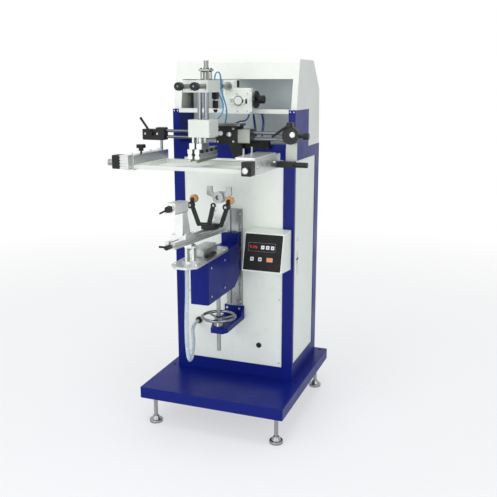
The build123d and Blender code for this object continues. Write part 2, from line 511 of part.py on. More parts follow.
fork_y = HEAD_PLATE_Y[0] - GAP
fork = rod_y(FORK_R, 0, (fork_y - FORK_L, fork_y), AXIS_Z)
fork = fork + rod_y(DRIVE_R, 0, (fork_y, HEAD_PLATE_Y[1]), AXIS_Z)
for side in (-1, 1):
    prong = front_profile([(side * 10, AXIS_Z + 12), (side * PRONG_IN, AXIS_Z + 22),
                           (side * PRONG_IN, AXIS_Z + PRONG_RISE), (side * PRONG_OUT, AXIS_Z + PRONG_RISE),
                           (side * PRONG_OUT, AXIS_Z + 10), (side * 12, AXIS_Z - 8)], (fork_y - 14, fork_y - 2))
    fork = fork + prong
fork = fork - rod_y(FORK_CUP, 0, (fork_y - FORK_L - 1, fork_y - 12), AXIS_Z)


def front_link(low, high, half_width, depth):
    """Flat link with round ends between two (x, z) points of the front view."""
    along = Vector(high[0] - low[0], high[1] - low[1])
    across = Vector(-along.Y, along.X).normalized() * half_width
    corners = [(low[0] + across.X, low[1] + across.Y), (high[0] + across.X, high[1] + across.Y),
               (high[0] - across.X, high[1] - across.Y), (low[0] - across.X, low[1] - across.Y)]
    body = front_profile(corners, depth)
    return body + rod_y(half_width, low[0], depth, low[1]) + rod_y(half_width, high[0], depth, high[1])


support_y = (SUPPORT_Y - SUPPORT_T / 2, SUPPORT_Y + SUPPORT_T / 2)
support_foot_z = RAIL_Z[1] + SUPPORT_FOOT_RISE
collar_y = ROLLER_Y + ROLLER_L / 2 + GAP
arms = block((-30, 30), ARM_BASE_Y, (RAIL_Z[1], RAIL_Z[1] + ARM_BASE_T))
for side in (-1, 1):
    foot = (side * SUPPORT_FOOT_X, support_foot_z)
    roller = (side * ROLLER_X, ROLLER_1[2])
    hub = (side * (ROLLER_X + (side < 0) * 6 - 4), ROLLER_1[2] - HUB_DROP)
    arms = arms + front_link((side * 20, support_foot_z), foot, SUPPORT_W / 2 - 1, support_y)
    arms = arms + front_link(foot, hub, SUPPORT_W / 2, support_y)
    arms = arms + front_link(hub, roller, SUPPORT_W / 2 - 2, support_y)
    arms = arms + rod_y(HUB_R, hub[0], (support_y[0] - HUB_OUT, support_y[1]), hub[1])
    arms = arms + rod_y(SPINDLE_R, roller[0], (support_y[0], collar_y + 5), roller[1])
    arms = arms + rod_y(SPINDLE_R + 4, roller[0], (collar_y, collar_y + 5), roller[1])
ring_spot = (RING_X, support_foot_z + RING_RISE - 15)
arms = arms + front_link((-4, support_foot_z), ring_spot, RING_R - 2, support_y)
arms = arms + rod_y(RING_R, ring_spot[0], support_y, ring_spot[1])
arms = arms - rod_y(RING_R / 2, ring_spot[0], (support_y[0] - 1, support_y[1] + 1), ring_spot[1])
half_roller = ROLLER_L / 2


def support_roller(spot):
    body = rod_y(ROLLER_R, spot[0], (spot[1] - half_roller, spot[1] + half_roller), spot[2])
    body = fillet(body.edges().filter_by(GeomType.CIRCLE), 6)
    return body - rod_y(SPINDLE_R + RUN, spot[0], (spot[1] - 20, spot[1] + 20), spot[2])


JIG = Pos(0, PIVOT_Y, PIVOT_Z) * Rot(-TILT, 0, 0)
nodes["jig_rail"] = JIG * rail
nodes["rail_knob"] = JIG * rail_knob
nodes["tailstock"] = JIG * tail
nodes["tail_quill"] = JIG * quill
nodes["tail_cone"] = JIG * cone
nodes["tail_knob"] = JIG * tail_knob
nodes["headstock"] = JIG * head
nodes["drive_fork"] = JIG * fork
nodes["roller_arms"] = JIG * arms
nodes["roller_front"] = JIG * support_roller(ROLLER_1)
nodes["roller_rear"] = JIG * support_roller(ROLLER_2)

# ---------------------------------------------------------------- print head
unit = soft_block(SLIDE_X, SLIDE_Y, SLIDE_Z, 4, Axis.Y)
for bx in (22, 66):
    unit = unit + rod_y(15, bx, (SLIDE_Y[0] - 5, SLIDE_Y[0]), SLIDE_Z[0] + 53)
    unit = unit - rod_y(9, bx, (SLIDE_Y[0] - 6, SLIDE_Y[0] + 6), SLIDE_Z[0] + 53)
RIB_Z = SLIDE_Z[1] + 12
rib = side_profile([(-231, SLIDE_Z[1]), (-215, SLIDE_Z[1]), (-210, RIB_Z), (-236, RIB_Z)], SLIDE_X)
unit = unit + rib
unit = unit + block((SLIDE_X[1], SLIDE_X[1] + 8), (-246, -200), (SLIDE_Z[0] + 9, SLIDE_Z[1] - 3))
unit = unit - rod_x(6 + RUN, (SLIDE_X[1] - 20, SLIDE_X[1] + 10), FEED_Y, FEED_Z)
nodes["slide_unit"] = unit

feed = rod_x(6, (SLIDE_X[1] - 18, SLIDE_X[1] + 34), FEED_Y, FEED_Z)
dial = Pos(SLIDE_X[1] + 12, FEED_Y, FEED_Z) * Rot(0, 90, 0) * Cylinder(36, 12, align=(
    Align.CENTER, Align.CENTER, Align.MIN))
dial = fillet(dial.edges().filter_by(GeomType.CIRCLE), 2)
grip = Pos(SLIDE_X[1] + 32, FEED_Y, FEED_Z) * Rot(0, 90, 0) * fluted_knob(17, 24, 8)
nodes["feed_knob"] = feed + dial + grip

post_block = block((-18, 28), (SLIDE_Y[0], SLIDE_Y[1] - 4), (SLIDE_Z[1] + GAP, KNOB_Z + 25))
groove = side_profile([(-231 - GAP, SLIDE_Z[1]), (-215 + GAP, SLIDE_Z[1]),
                       (-210 + GAP, RIB_Z + GAP), (-236 - GAP, RIB_Z + GAP)], (-30, 40))
post_block = fillet(post_block.edges().filter_by(Axis.Y).group_by(Axis.Z)[-1], 4) - groove
nodes["head_post"] = post_block

ARM_AXIS_X = 5.0
shaft = rod_y(11, ARM_AXIS_X, (BAR_Y[1], SLIDE_Y[0]), KNOB_Z)
nut_plane = Plane(origin=(ARM_AXIS_X, BAR_Y[1], KNOB_Z), x_dir=(1, 0, 0), z_dir=(0, 1, 0))
shaft = shaft + extrude(nut_plane * RegularPolygon(19, 6), amount=14)
shaft = shaft + rod_y(17, ARM_AXIS_X, (SLIDE_Y[0] - 12, SLIDE_Y[0]), KNOB_Z)
nodes["head_shaft"] = shaft

bar = soft_block(BAR_X, BAR_Y, BAR_Z, 4, Axis.Z)
for dx in (-GUIDE_ROD_DX, GUIDE_ROD_DX):
    bar = bar - rod_z(GUIDE_ROD_R + RUN, HEAD_X + dx, HEAD_Y, (BAR_Z[0] - 1, BAR_Z[1] + 1))
bar = bar - rod_z(PISTON_R + RUN, HEAD_X, PISTON_Y, (BAR_Z[0] - 1, BAR_Z[1] + 1))
for kx in KNOB_X:
    bar = bar - rod_y(KNOB_SHAFT_R + RUN, kx, (BAR_Y[0] - 1, BAR_Y[0] + 25), KNOB_Z)
nodes["crosshead"] = bar

for name, kx in zip(("left_adjust_knob", "right_adjust_knob"), KNOB_X):
    knob = Pos(kx, KNOB_Y[1], KNOB_Z) * Rot(90, 0, 0) * fluted_knob(KNOB_R, KNOB_Y[1] - KNOB_Y[0], 10)
    nodes[name] = knob + rod_y(KNOB_SHAFT_R, kx, (KNOB_Y[1] - 2, BAR_Y[0] + 24), KNOB_Z)

cylinder = rod_z(17, HEAD_X, PISTON_Y, (BAR_Z[1], BAR_Z[1] + 6))
CYLINDER_L, CAP_L, CAP_HALF = 38.0, 32.0, 23.0
cap_low = BAR_Z[1] + CYLINDER_L
cylinder = cylinder + rod_z(13, HEAD_X, PISTON_Y, (BAR_Z[1], cap_low))
for dx in (-15, 15):
    for dy in (-15, 15):
        cylinder = cylinder + rod_z(3, HEAD_X + dx, PISTON_Y + dy, (BAR_Z[1], cap_low))
cylinder = cylinder + soft_block((HEAD_X - CAP_HALF, HEAD_X + CAP_HALF),
                                 (PISTON_Y - CAP_HALF, PISTON_Y + CAP_HALF), (cap_low - 4, cap_low + 4), 4)
cylinder = cylinder + rod_z(10, HEAD_X, PISTON_Y, (cap_low + 4, cap_low + 4 + CAP_L))
for ring_z in (cap_low + 12, cap_low + 19, cap_low + 26):
    cylinder = cylinder - (rod_z(11, HEAD_X, PISTON_Y, (ring_z, ring_z + 3))
                           - rod_z(8.5, HEAD_X, PISTON_Y, (ring_z - 1, ring_z + 4)))
cylinder = cylinder - rod_z(PISTON_R + RUN, HEAD_X, PISTON_Y, (BAR_Z[1] - 1, cap_low - 5))
nodes["stroke_cylinder"] = cylinder

rods = [rod_z(GUIDE_ROD_R, HEAD_X + dx, HEAD_Y, (BOX_Z[1], BAR_Z[1] + 2))
        for dx in (-GUIDE_ROD_DX, GUIDE_ROD_DX)]
rods.append(rod_z(PISTON_R, HEAD_X, PISTON_Y, (BOX_Z[1], BAR_Z[1] - 14)))
nodes["guide_rods"] = Compound(rods)

box = soft_block((-BOX_HALF, BOX_HALF), BOX_Y, BOX_Z, 5)
holder_spots = [(hx, hy) for hx in (FLOOD_X, SQUEEGEE_X) for hy in (-525, -480)]
for hx, hy in holder_spots:
    box = box - rod_z(HOLDER_ROD_R + RUN, hx, hy, (BOX_Z[0] - 1, BOX_Z[0] + 45))
nodes["head_box"] = box


def holder(x, low):
    """Extruded aluminium holder with a side groove and its two lift rods."""
    top = HOLDER_Z[1]
    outline = [(x - 10, low), (x + 10, low), (x + 10, low + 12), (x + 7, low + 14), (x + 7, low + 20),
               (x + 10, low + 22), (x + 10, top), (x - 10, top), (x - 10, low + 22), (x - 7, low + 20),
               (x - 7, low + 14), (x - 10, low + 12)]
    body = front_profile(outline, HOLDER_Y)
    body = body + soft_block((x - 12, x + 12), (-540, -465), (top, top + 22), 3)
    for hy in (-525, -480):
        body = body + rod_z(HOLDER_ROD_R, x, hy, (top + 20, BOX_Z[0] + 36))
    return body


nodes["squeegee_holder"] = holder(SQUEEGEE_X, HOLDER_Z[0])
blade_x = (SQUEEGEE_X - 4, SQUEEGEE_X + 4)
nodes["squeegee_blade"] = front_profile([(blade_x[0], HOLDER_Z[0]), (blade_x[0], BLADE_LOW + 4),
                                         (SQUEEGEE_X, BLADE_LOW), (blade_x[1], BLADE_LOW + 4),
                                         (blade_x[1], HOLDER_Z[0])], HOLDER_Y)
flood = holder(FLOOD_X, HOLDER_Z[0])
flood = flood + block((FLOOD_X - 1.5, FLOOD_X + 1.5), HOLDER_Y, (BLADE_LOW + 3, HOLDER_Z[0] + 1))
nodes["flood_bar"] = flood

# ---------------------------------------------------------------- screen carriage
bearing = soft_block(BLOCK_X, BLOCK_Y, BLOCK_Z, 3, Axis.Y)
hanger = side_profile([(BLOCK_Y[1], BLOCK_Z[1] - 12), (COL_FRONT, BEAM_TOP - 8), (COL_FRONT, BEAM_LOW + 5),
                       (BLOCK_Y[1], BLOCK_Z[0] + 4)], (4, 66))
bearing = bearing + hanger
for rz in ROD_Z:
    bearing = bearing - rod_x(ROD_R + RUN, (BLOCK_X[0] - 1, BLOCK_X[1] + 1), ROD_Y, rz)
nodes["bearing_block"] = bearing

HOUSING_X = (BLOCK_X[1], 134.0)
housing = soft_block(HOUSING_X, (BLOCK_Y[0] + 8, BLOCK_Y[1] - 8), (BLOCK_Z[0] + 4, BLOCK_Z[1] - 12), 4,
                     Axis.X)
for rz in ROD_Z:
    housing = housing - rod_x(ROD_R + RUN, (HOUSING_X[0] - 1, HOUSING_X[1] + 1), ROD_Y, rz)
top_plate = block((BLOCK_X[0] + 7, BLOCK_X[1] + 12), (BLOCK_Y[0] + 4, BLOCK_Y[1] - 6),
                  (BLOCK_Z[1], BLOCK_Z[1] + 9))
nodes["bush_housing"] = Compound([housing, top_plate])

chain = block((66, 178), (COL_FRONT - 30, COL_FRONT), (BEAM_TOP - 16, BEAM_TOP - 2))
for link in range(12):
    lx = 68 + 9.2 * link
    chain = chain + block((lx, lx + 6), (COL_FRONT - 36, COL_FRONT - 2),
                          (BEAM_TOP - 10, BEAM_TOP + 36 - 1.6 * link))
nodes["cable_chain"] = chain

rods = [rod_x(ROD_R, (LEFT_CLAMP_X[0] + 10, CLAMP_X + 24), ROD_Y, rz) for rz in ROD_Z]
nodes["cross_rods"] = Compound(rods)

left_clamp = soft_block(LEFT_CLAMP_X, (CLAMP_Y[0] + 1, CLAMP_Y[1]), (ROD_Z[1] - 15, ROD_Z[0] + 14), 6, Axis.Y)
left_clamp = left_clamp - block((LEFT_CLAMP_X[0] - 1, -300), (CLAMP_Y[0] - 9, CLAMP_Y[1] + 10),
                                (ROD_Z[0] + 6, ROD_Z[0] + 16))
right_clamp = rod_y(CLAMP_R, CLAMP_X, CLAMP_Y, CLAMP_Z)
right_clamp = right_clamp + soft_block((LEVER_R[0] - 12, LEVER_R[0] + 12), (CLAMP_Y[0], CLAMP_Y[0] + 31),
                                       (CLAMP_Z + 28, LEVER_R[1] + 10), 5, Axis.Y)
LOCK_ROD_Z = ROD_Z[1] + 16
LOCK_ROD_END = CLAMP_X + 46
right_clamp = right_clamp + rod_x(8, (CLAMP_X + 20, LOCK_ROD_END), ROD_Y, LOCK_ROD_Z)
for rz in ROD_Z:
    left_clamp = left_clamp - rod_x(ROD_R + RUN, (LEFT_CLAMP_X[0] + 10, LEFT_CLAMP_X[1] + 1), ROD_Y, rz)
    right_clamp = right_clamp - rod_x(ROD_R + RUN, (CLAMP_X - 50, CLAMP_X + 24), ROD_Y, rz)
left_clamp = left_clamp - rod_y(4 + RUN, LEVER_L[0], (CLAMP_Y[0], CLAMP_Y[0] + 13), LEVER_L[1])
right_clamp = right_clamp - rod_y(4 + RUN, LEVER_R[0], (CLAMP_Y[0] - 1, CLAMP_Y[0] + 19), LEVER_R[1])
low_clamp = soft_block((RIGHT_ARM_X[1], 316), CLAMP_Y, (ARM_Z[0] + 2, ARM_Z[0] + 26), 3, Axis.X)
low_clamp = low_clamp + rod_x(11, (316, 372), CLAMP_Y[0] + 16.5, ARM_Z[0] + 14)
nodes["rod_clamps"] = Compound([left_clamp, right_clamp, low_clamp])

clamp_lock = rod_x(8, (LOCK_ROD_END, LOCK_ROD_END + 4), ROD_Y, LOCK_ROD_Z)
lock_grip = Pos(LOCK_ROD_END + 4, ROD_Y, LOCK_ROD_Z) * Rot(0, 90, 0) * fluted_knob(14, 22, 8)
clamp_lock = clamp_lock + lock_grip
nodes["right_lock_knob"] = clamp_lock


def lever(pivot, reach, y_front, pin_rear):
    """Clamp lever: boss on the pivot and a tapering handle to its ball end."""
    boss = rod_y(9, pivot[0], (y_front - 13, y_front - GAP), pivot[1])
    pin = rod_y(4, pivot[0], (y_front - 6, pin_rear), pivot[1])
    tip = (pivot[0] + reach[0], y_front - 7, pivot[1] + reach[1])
    handle = bar_between((pivot[0], y_front - 7, pivot[1]), tip, 5)
    ball = Pos(*tip) * Sphere(6)
    return boss + pin + handle + ball


nodes["left_lever"] = lever(LEVER_L, (-46, 62), CLAMP_Y[0] + 1, CLAMP_Y[0] + 11)
nodes["right_lever"] = lever(LEVER_R, (-66, -46), CLAMP_Y[0], CLAMP_Y[0] + 17)


def arm(x, inner_sign):
    """Channel arm whose slot takes one end of the screen frame."""
    body = soft_block(x, ARM_Y, ARM_Z, 3, Axis.Y)
    inner = x[1] if inner_sign > 0 else x[0]
    slot = block(sorted((inner + inner_sign, inner - inner_sign * (FRAME_IN + 0.2))),
                 (ARM_Y[0] - 1, SCREEN_Y[1] + 1), (FRAME_Z[0] - 1.2, FRAME_Z[1] + GAP))
    return body - slot


left_arm = arm(LEFT_ARM_X, 1)
right_arm = arm(RIGHT_ARM_X, -1)
clamp_plate = soft_block((168, RIGHT_ARM_X[1]), (-596, -352), (ARM_Z[1], ARM_Z[1] + 8), 5)
right_arm = right_arm + clamp_plate
left_arm = left_arm - rod_z(4 + RUN, STAR_X, STAR_Y, (ARM_Z[1] - 30, ARM_Z[1] + 1))
right_arm = right_arm - rod_x(10, (RIGHT_ARM_X[1] - 8, RIGHT_ARM_X[1] + 1), -446, ARM_Z[0] + 29)

post_l = rod_z(6, -284, ROD_Y, (ARM_Z[1], ROD_Z[1] - 15))
screws = [post_l]
for sy in (-560, -470):
    body = rod_z(4, 190, sy, (ARM_Z[1] + 8, ARM_Z[1] + 38))
    body = body + hex_prism(13, 190, sy, (ARM_Z[1] + 8, ARM_Z[1] + 15))
    screws.append(body)
nodes["clamp_screws"] = Compound(screws)

low, top = ARM_Z[0] + 4, ROD_Z[0] + 12
bracket = front_profile([(272, low), (318, low), (318, top), (290, top), (276, top - 20), (272, top - 76)],
                        (CLAMP_Y[1], CLAMP_Y[1] + 8))
nodes["drop_bracket"] = bracket

STAR_Z = ARM_Z[1] + 22
star = Pos(STAR_X, STAR_Y, STAR_Z) * fluted_knob(19, 14, 5)
star = star + rod_z(10, STAR_X, STAR_Y, (STAR_Z - 12, STAR_Z + 1))
star = star + rod_z(4, STAR_X, STAR_Y, (ARM_Z[1] - 24, STAR_Z - 6))
nodes["star_knob"] = star

END_Y = (ARM_Y[0] - 40, ARM_Y[0])
left_end_z = (ARM_Z[0] + 8, ARM_Z[1] + 4)
left_end = soft_block((LEFT_ARM_X[0], LEFT_ARM_X[1] - 2), END_Y, left_end_z, 3, Axis.Y)
for row in range(4):
    groove_z = (left_end_z[0] + 7 + 12 * row, left_end_z[0] + 12 + 12 * row)
    left_end = left_end - block((LEFT_ARM_X[0] - 1, LEFT_ARM_X[1] - 1), (END_Y[0] - 1, END_Y[0] + 3), groove_z)
nodes["screen_arms"] = Compound([left_arm, right_arm, left_end])
LEFT_BLOCK_X = (LEFT_ARM_X[0] - 34, LEFT_ARM_X[0])
LEFT_KNOB_Y, LEFT_KNOB_Z = END_Y[0] + 20, ARM_Z[0] + 31
RIGHT_KNOB_X, RIGHT_KNOB_Z = RIGHT_ARM_X[0] + 21, ARM_Z[0] + 24
left_block = soft_block(LEFT_BLOCK_X, END_Y, left_end_z, 4, Axis.Y)
left_bore_x = (LEFT_BLOCK_X[0] - 1, LEFT_BLOCK_X[0] + 20)
left_block = left_block - rod_x(5 + RUN, left_bore_x, LEFT_KNOB_Y, LEFT_KNOB_Z)
right_block_x = (RIGHT_ARM_X[0] + 1, RIGHT_ARM_X[1] + 1)
right_block = soft_block(right_block_x, END_Y, (ARM_Z[0] + 2, ARM_Z[1] - 2), 4, Axis.Y)
right_block = right_block - rod_y(5 + RUN, RIGHT_KNOB_X, (END_Y[0] - 1, END_Y[0] + 20), RIGHT_KNOB_Z)
nodes["end_blocks"] = Compound([left_block, right_block])
ring_knob = Pos(LEFT_BLOCK_X[0] - GAP, LEFT_KNOB_Y, LEFT_KNOB_Z) * Rot(0, -90, 0) * fluted_knob(13, 26, 12)
ring_stem = rod_x(5, (LEFT_BLOCK_X[0] - 4, LEFT_BLOCK_X[0] + 18), LEFT_KNOB_Y, LEFT_KNOB_Z)
nodes["left_end_knob"] = ring_knob + ring_stem
end_knob = Pos(RIGHT_KNOB_X, END_Y[0] - GAP, RIGHT_KNOB_Z) * Rot(90, 0, 0) * fluted_knob(13, 16, 12)
nodes["right_end_knob"] = end_knob + rod_y(5, RIGHT_KNOB_X, (END_Y[0] - 4, END_Y[0] + 18), RIGHT_KNOB_Z)

screen_x = (LEFT_ARM_X[1] - FRAME_IN, RIGHT_ARM_X[0] + FRAME_IN)
screen = block(screen_x, SCREEN_Y, FRAME_Z)
screen = screen - soft_block(WINDOW_IN, WINDOW_IN_Y, (FRAME_Z[0] - 1, FRAME_Z[1] + 1), 6)
nodes["screen_frame"] = screen
nodes["screen_mesh"] = block((LEFT_ARM_X[1] + 4, RIGHT_ARM_X[0] - 4), (SCREEN_Y[0] + 6, SCREEN_Y[1] - 6),
                             (FRAME_Z[0] - MESH_T, FRAME_Z[0]))

# ---------------------------------------------------------------- hose
points = [Vector(*p) for p in HOSE_ROUTE]
radii = []
for before, corner, after in zip(points, points[1:], points[2:]):
    run_in, run_out = corner - before, after - corner
    half_turn = math.radians(run_in.get_angle(run_out)) / 2
    radii.append(0.45 * min(run_in.length, run_out.length) / math.tan(half_turn))
print("hose bend radii", [round(r) for r in radii])
path = FilletPolyline(*points, radius=radii)
tube = sweep(Plane(origin=path @ 0, z_dir=path % 0) * Circle(HOSE_R), path=path)
print("hose length", round(path.length, 1), "volume ratio",
      round(tube.volume / (math.pi * HOSE_R**2 * path.length), 4))
nodes["table_hose"] = tube

FRAME = Pos(FRAME_X, FRAME_Y, 0)
for name, shape in nodes.items():
    export_step(FRAME * shape, f"parts/{name}.step")
print(len(nodes), "nodes")
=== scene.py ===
import json
import math

import bmesh
import bpy
from mathutils import Matrix, Vector


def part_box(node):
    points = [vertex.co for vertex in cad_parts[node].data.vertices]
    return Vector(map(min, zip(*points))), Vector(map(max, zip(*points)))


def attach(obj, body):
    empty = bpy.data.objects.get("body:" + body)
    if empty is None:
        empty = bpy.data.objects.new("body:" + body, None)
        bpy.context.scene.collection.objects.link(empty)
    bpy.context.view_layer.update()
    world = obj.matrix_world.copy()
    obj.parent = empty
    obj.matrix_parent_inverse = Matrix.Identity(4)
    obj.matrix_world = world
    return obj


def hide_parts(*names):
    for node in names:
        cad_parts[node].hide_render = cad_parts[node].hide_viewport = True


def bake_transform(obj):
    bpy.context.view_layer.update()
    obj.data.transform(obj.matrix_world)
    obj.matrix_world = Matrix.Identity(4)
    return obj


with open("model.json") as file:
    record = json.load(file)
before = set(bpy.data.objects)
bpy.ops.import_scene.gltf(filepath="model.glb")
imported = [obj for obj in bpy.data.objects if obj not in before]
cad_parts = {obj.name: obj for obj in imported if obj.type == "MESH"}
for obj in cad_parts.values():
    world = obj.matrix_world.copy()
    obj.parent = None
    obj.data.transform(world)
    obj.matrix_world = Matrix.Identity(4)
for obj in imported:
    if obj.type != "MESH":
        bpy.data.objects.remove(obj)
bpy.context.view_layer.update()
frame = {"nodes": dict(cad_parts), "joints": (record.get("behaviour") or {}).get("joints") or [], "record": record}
nodes = frame["nodes"]
scene = bpy.context.scene

# Lengths are metres and angles degrees. A list of (radius, height) pairs is a profile that is
# turned about its axis, from the face that carries it outwards.
MM = 0.001
FRONT, REAR = (0, -1, 0), (0, 1, 0)
LEFT, RIGHT = (-1, 0, 0), (1, 0, 0)
UP, DOWN = (0, 0, 1), (0, 0, -1)
MIDDLE_Y = sum(corner.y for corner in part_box("column_frame")) / 2


def placed(x, y, z):
    """Point whose y is measured from the middle of the column's depth."""
    return Vector((x, y + MIDDLE_Y, z))


# ---------------------------------------------------------------- materials
FINE_EDGE = 0.0008  # rounding that the shaders of bare metal and mouldings feign


def display(red, green, blue):
    """Linear colour of an 8-bit display colour."""
    return tuple(((c / 255 + 0.055) / 1.055) ** 2.4 for c in (red, green, blue)) + (1.0,)


def shaded(colour, share):
    """The colour with its light cut down to this share."""
    return tuple(c * share for c in colour[:3]) + (1.0,)


def rubbed(colour):
    """Paler tone of a moulding's rubbed edges."""
    return tuple(min(1.0, c * 1.6 + 0.02) for c in colour[:3]) + (1.0,)


class Finish:
    """A node material on one Principled shader, with calls that add one kind of detail each."""

    def __init__(self, name, colour, roughness, metallic=0.0):
        self.material = bpy.data.materials.new(name)
        self.material.use_nodes = True
        self.material.diffuse_color = colour
        self.tree = self.material.node_tree
        self.shader = self.tree.nodes["Principled BSDF"]
        self.shader.inputs["Base Color"].default_value = colour
        self.shader.inputs["Roughness"].default_value = roughness
        self.shader.inputs["Metallic"].default_value = metallic
        self.colour = colour
        self.roughness = roughness
        self.tone = None
        self.place = self.add("ShaderNodeTexCoord").outputs["Object"]

    def add(self, kind, **values):
        made = self.tree.nodes.new(kind)
        for key, value in values.items():
            setattr(made, key, value)
        return made

    def wire(self, source, target):
        self.tree.links.new(source, target)

    def noise(self, scale, detail=3.0, stretch=(1.0, 1.0, 1.0)):
        mapping = self.add("ShaderNodeMapping")
        mapping.inputs["Scale"].default_value = stretch
        self.wire(self.place, mapping.inputs["Vector"])
        made = self.add("ShaderNodeTexNoise")
        made.inputs["Scale"].default_value = scale
        made.inputs["Detail"].default_value = detail
        self.wire(mapping.outputs["Vector"], made.inputs["Vector"])
        return made.outputs["Fac"]

    def spread(self, source, low, high, start=0.3, end=0.7):
        """Maps the source's values from start to end onto low to high."""
        made = self.add("ShaderNodeMapRange")
        made.inputs["From Min"].default_value = start
        made.inputs["From Max"].default_value = end
        made.inputs["To Min"].default_value = low
        made.inputs["To Max"].default_value = high
        self.wire(source, made.inputs["Value"])
        return made.outputs["Result"]

    def tint(self, factor, colour):
        """Mixes another colour into the tone so far, by a 0..1 factor."""
        made = self.add("ShaderNodeMix", data_type="RGBA")
        colours = [s for s in made.inputs if s.type == "RGBA"]
        if self.tone is None:
            colours[0].default_value = self.colour
        else:
            self.wire(self.tone, colours[0])
        colours[1].default_value = colour
        self.wire(factor, made.inputs[0])
        self.tone = [s for s in made.outputs if s.type == "RGBA"][0]
        self.wire(self.tone, self.shader.inputs["Base Color"])

    def blotch(self, scale, detail, amount, colour, start=0.3, end=0.7):
        """Tints soft patches that noise lays out, by amount where they are strongest."""
        self.tint(self.spread(self.noise(scale, detail), 0.0, amount, start, end), colour)

    def uneven(self, scale, swing):
        """Roughness that wanders by swing about its value."""
        value = self.spread(self.noise(scale, 4.0), self.roughness - swing, self.roughness + swing)
        self.wire(value, self.shader.inputs["Roughness"])

    def relief(self, source, strength, height, normal=None):
        made = self.add("ShaderNodeBump")
        made.inputs["Strength"].default_value = strength
        made.inputs["Distance"].default_value = height
        self.wire(source, made.inputs["Height"])
        if normal is not None:
            self.wire(normal, made.inputs["Normal"])
        self.wire(made.outputs["Normal"], self.shader.inputs["Normal"])

    def soft_edge(self, radius):
        made = self.add("ShaderNodeBevel", samples=4)
        made.inputs["Radius"].default_value = radius
        self.wire(made.outputs["Normal"], self.shader.inputs["Normal"])
        return made.outputs["Normal"]

    def edge_mask(self, bevel):
        """1 along outer edges, broken up by noise, and 0 on the flats."""
        geometry = self.add("ShaderNodeNewGeometry")
        dot = self.add("ShaderNodeVectorMath", operation="DOT_PRODUCT")
        self.wire(geometry.outputs["Normal"], dot.inputs[0])
        self.wire(bevel, dot.inputs[1])
        edge = self.spread(dot.outputs["Value"], 1.0, 0.0, start=0.80, end=0.985)
        broken = self.spread(self.noise(scale=60.0, detail=5.0), 0.0, 1.0, start=0.45, end=0.60)
        both = self.add("ShaderNodeMath", operation="MULTIPLY")
        self.wire(edge, both.inputs[0])
        self.wire(broken, both.inputs[1])
        return both.outputs["Value"]


def painted(name, colour, roughness, worn, coat=0.0, edge=0.0015, shine=0.5):
    """Stoved enamel: orange peel, faint handling marks, chipped edges."""
    made = Finish(name, colour, roughness)
    made.blotch(scale=2.2, detail=5.0, amount=0.45, colour=shaded(colour, 0.84))
    made.blotch(scale=34.0, detail=6.0, amount=0.25, colour=shaded(colour, 0.72), start=0.55, end=0.80)
    bevel = made.soft_edge(edge)
    made.tint(made.edge_mask(bevel), worn)
    made.uneven(scale=7.0, swing=0.07)
    made.relief(made.noise(scale=900.0, detail=1.0), strength=0.10, height=0.0004, normal=bevel)
    made.shader.inputs["Specular IOR Level"].default_value = shine
    made.shader.inputs["Coat Weight"].default_value = coat
    made.shader.inputs["Coat Roughness"].default_value = 0.15
    return made.material


def metal(name, colour, roughness, grain=(1.0, 1.0, 1.0), lines=0.25):
    """Bare metal with fine machining lines, laid out by grain, and dulled patches."""
    made = Finish(name, colour, roughness, metallic=1.0)
    made.blotch(scale=11.0, detail=4.0, amount=0.6, colour=shaded(colour, 0.80))
    streaks = made.noise(scale=420.0, detail=2.0, stretch=grain)
    made.tint(made.spread(streaks, 0.0, 0.35), shaded(colour, 0.70))
    made.uneven(scale=23.0, swing=0.06)
    bevel = made.soft_edge(FINE_EDGE)
    made.relief(streaks, strength=lines, height=0.0002, normal=bevel)
    return made.material


def moulded(name, colour, roughness, grain=1400.0, strength=0.25, shine=0.5):
    """Moulded plastic or rubber with a fine spark-eroded grain."""
    made = Finish(name, colour, roughness)
    made.shader.inputs["Specular IOR Level"].default_value = shine
    made.blotch(scale=18.0, detail=4.0, amount=0.5, colour=shaded(colour, 0.70))
    bevel = made.soft_edge(FINE_EDGE)
    made.tint(made.edge_mask(bevel), rubbed(colour))
    made.uneven(scale=40.0, swing=0.06)
    made.relief(made.noise(scale=grain, detail=1.0), strength, height=0.0003, normal=bevel)
    return made.material


def woven(name, colour):
    """Monofilament screen cloth: two crossing sets of fine threads under a tight pull."""
    made = Finish(name, colour, roughness=0.45)
    made.blotch(scale=9.0, detail=4.0, amount=0.4, colour=shaded(colour, 0.88))
    heights = []
    for turn in (0.0, 90.0):
        mapping = made.add("ShaderNodeMapping")
        mapping.inputs["Rotation"].default_value = (0.0, 0.0, math.radians(turn))
        made.wire(made.place, mapping.inputs["Vector"])
        wave = made.add("ShaderNodeTexWave", wave_type="BANDS", bands_direction="X")
        wave.inputs["Scale"].default_value = 160.0
        made.wire(mapping.outputs["Vector"], wave.inputs["Vector"])
        heights.append(wave.outputs["Fac"])
    crossed = made.add("ShaderNodeMath", operation="MAXIMUM")
    made.wire(heights[0], crossed.inputs[0])
    made.wire(heights[1], crossed.inputs[1])
    gaps = made.spread(crossed.outputs["Value"], 0.30, 0.0, start=0.2, end=0.8)
    made.tint(gaps, shaded(colour, 0.66))
    made.relief(crossed.outputs["Value"], strength=0.35, height=0.0004)
    return made.material


def translucent(name, colour):
    """Cloudy flexible tube that lets some light through."""
    made = Finish(name, colour, roughness=0.22)
    made.blotch(scale=30.0, detail=4.0, amount=0.6, colour=shaded(colour, 0.82))
    made.uneven(scale=60.0, swing=0.08)
    made.relief(made.noise(scale=300.0, detail=2.0), strength=0.15, height=0.0003)
    made.shader.inputs["Transmission Weight"].default_value = 0.35
    made.shader.inputs["IOR"].default_value = 1.42
    return made.material


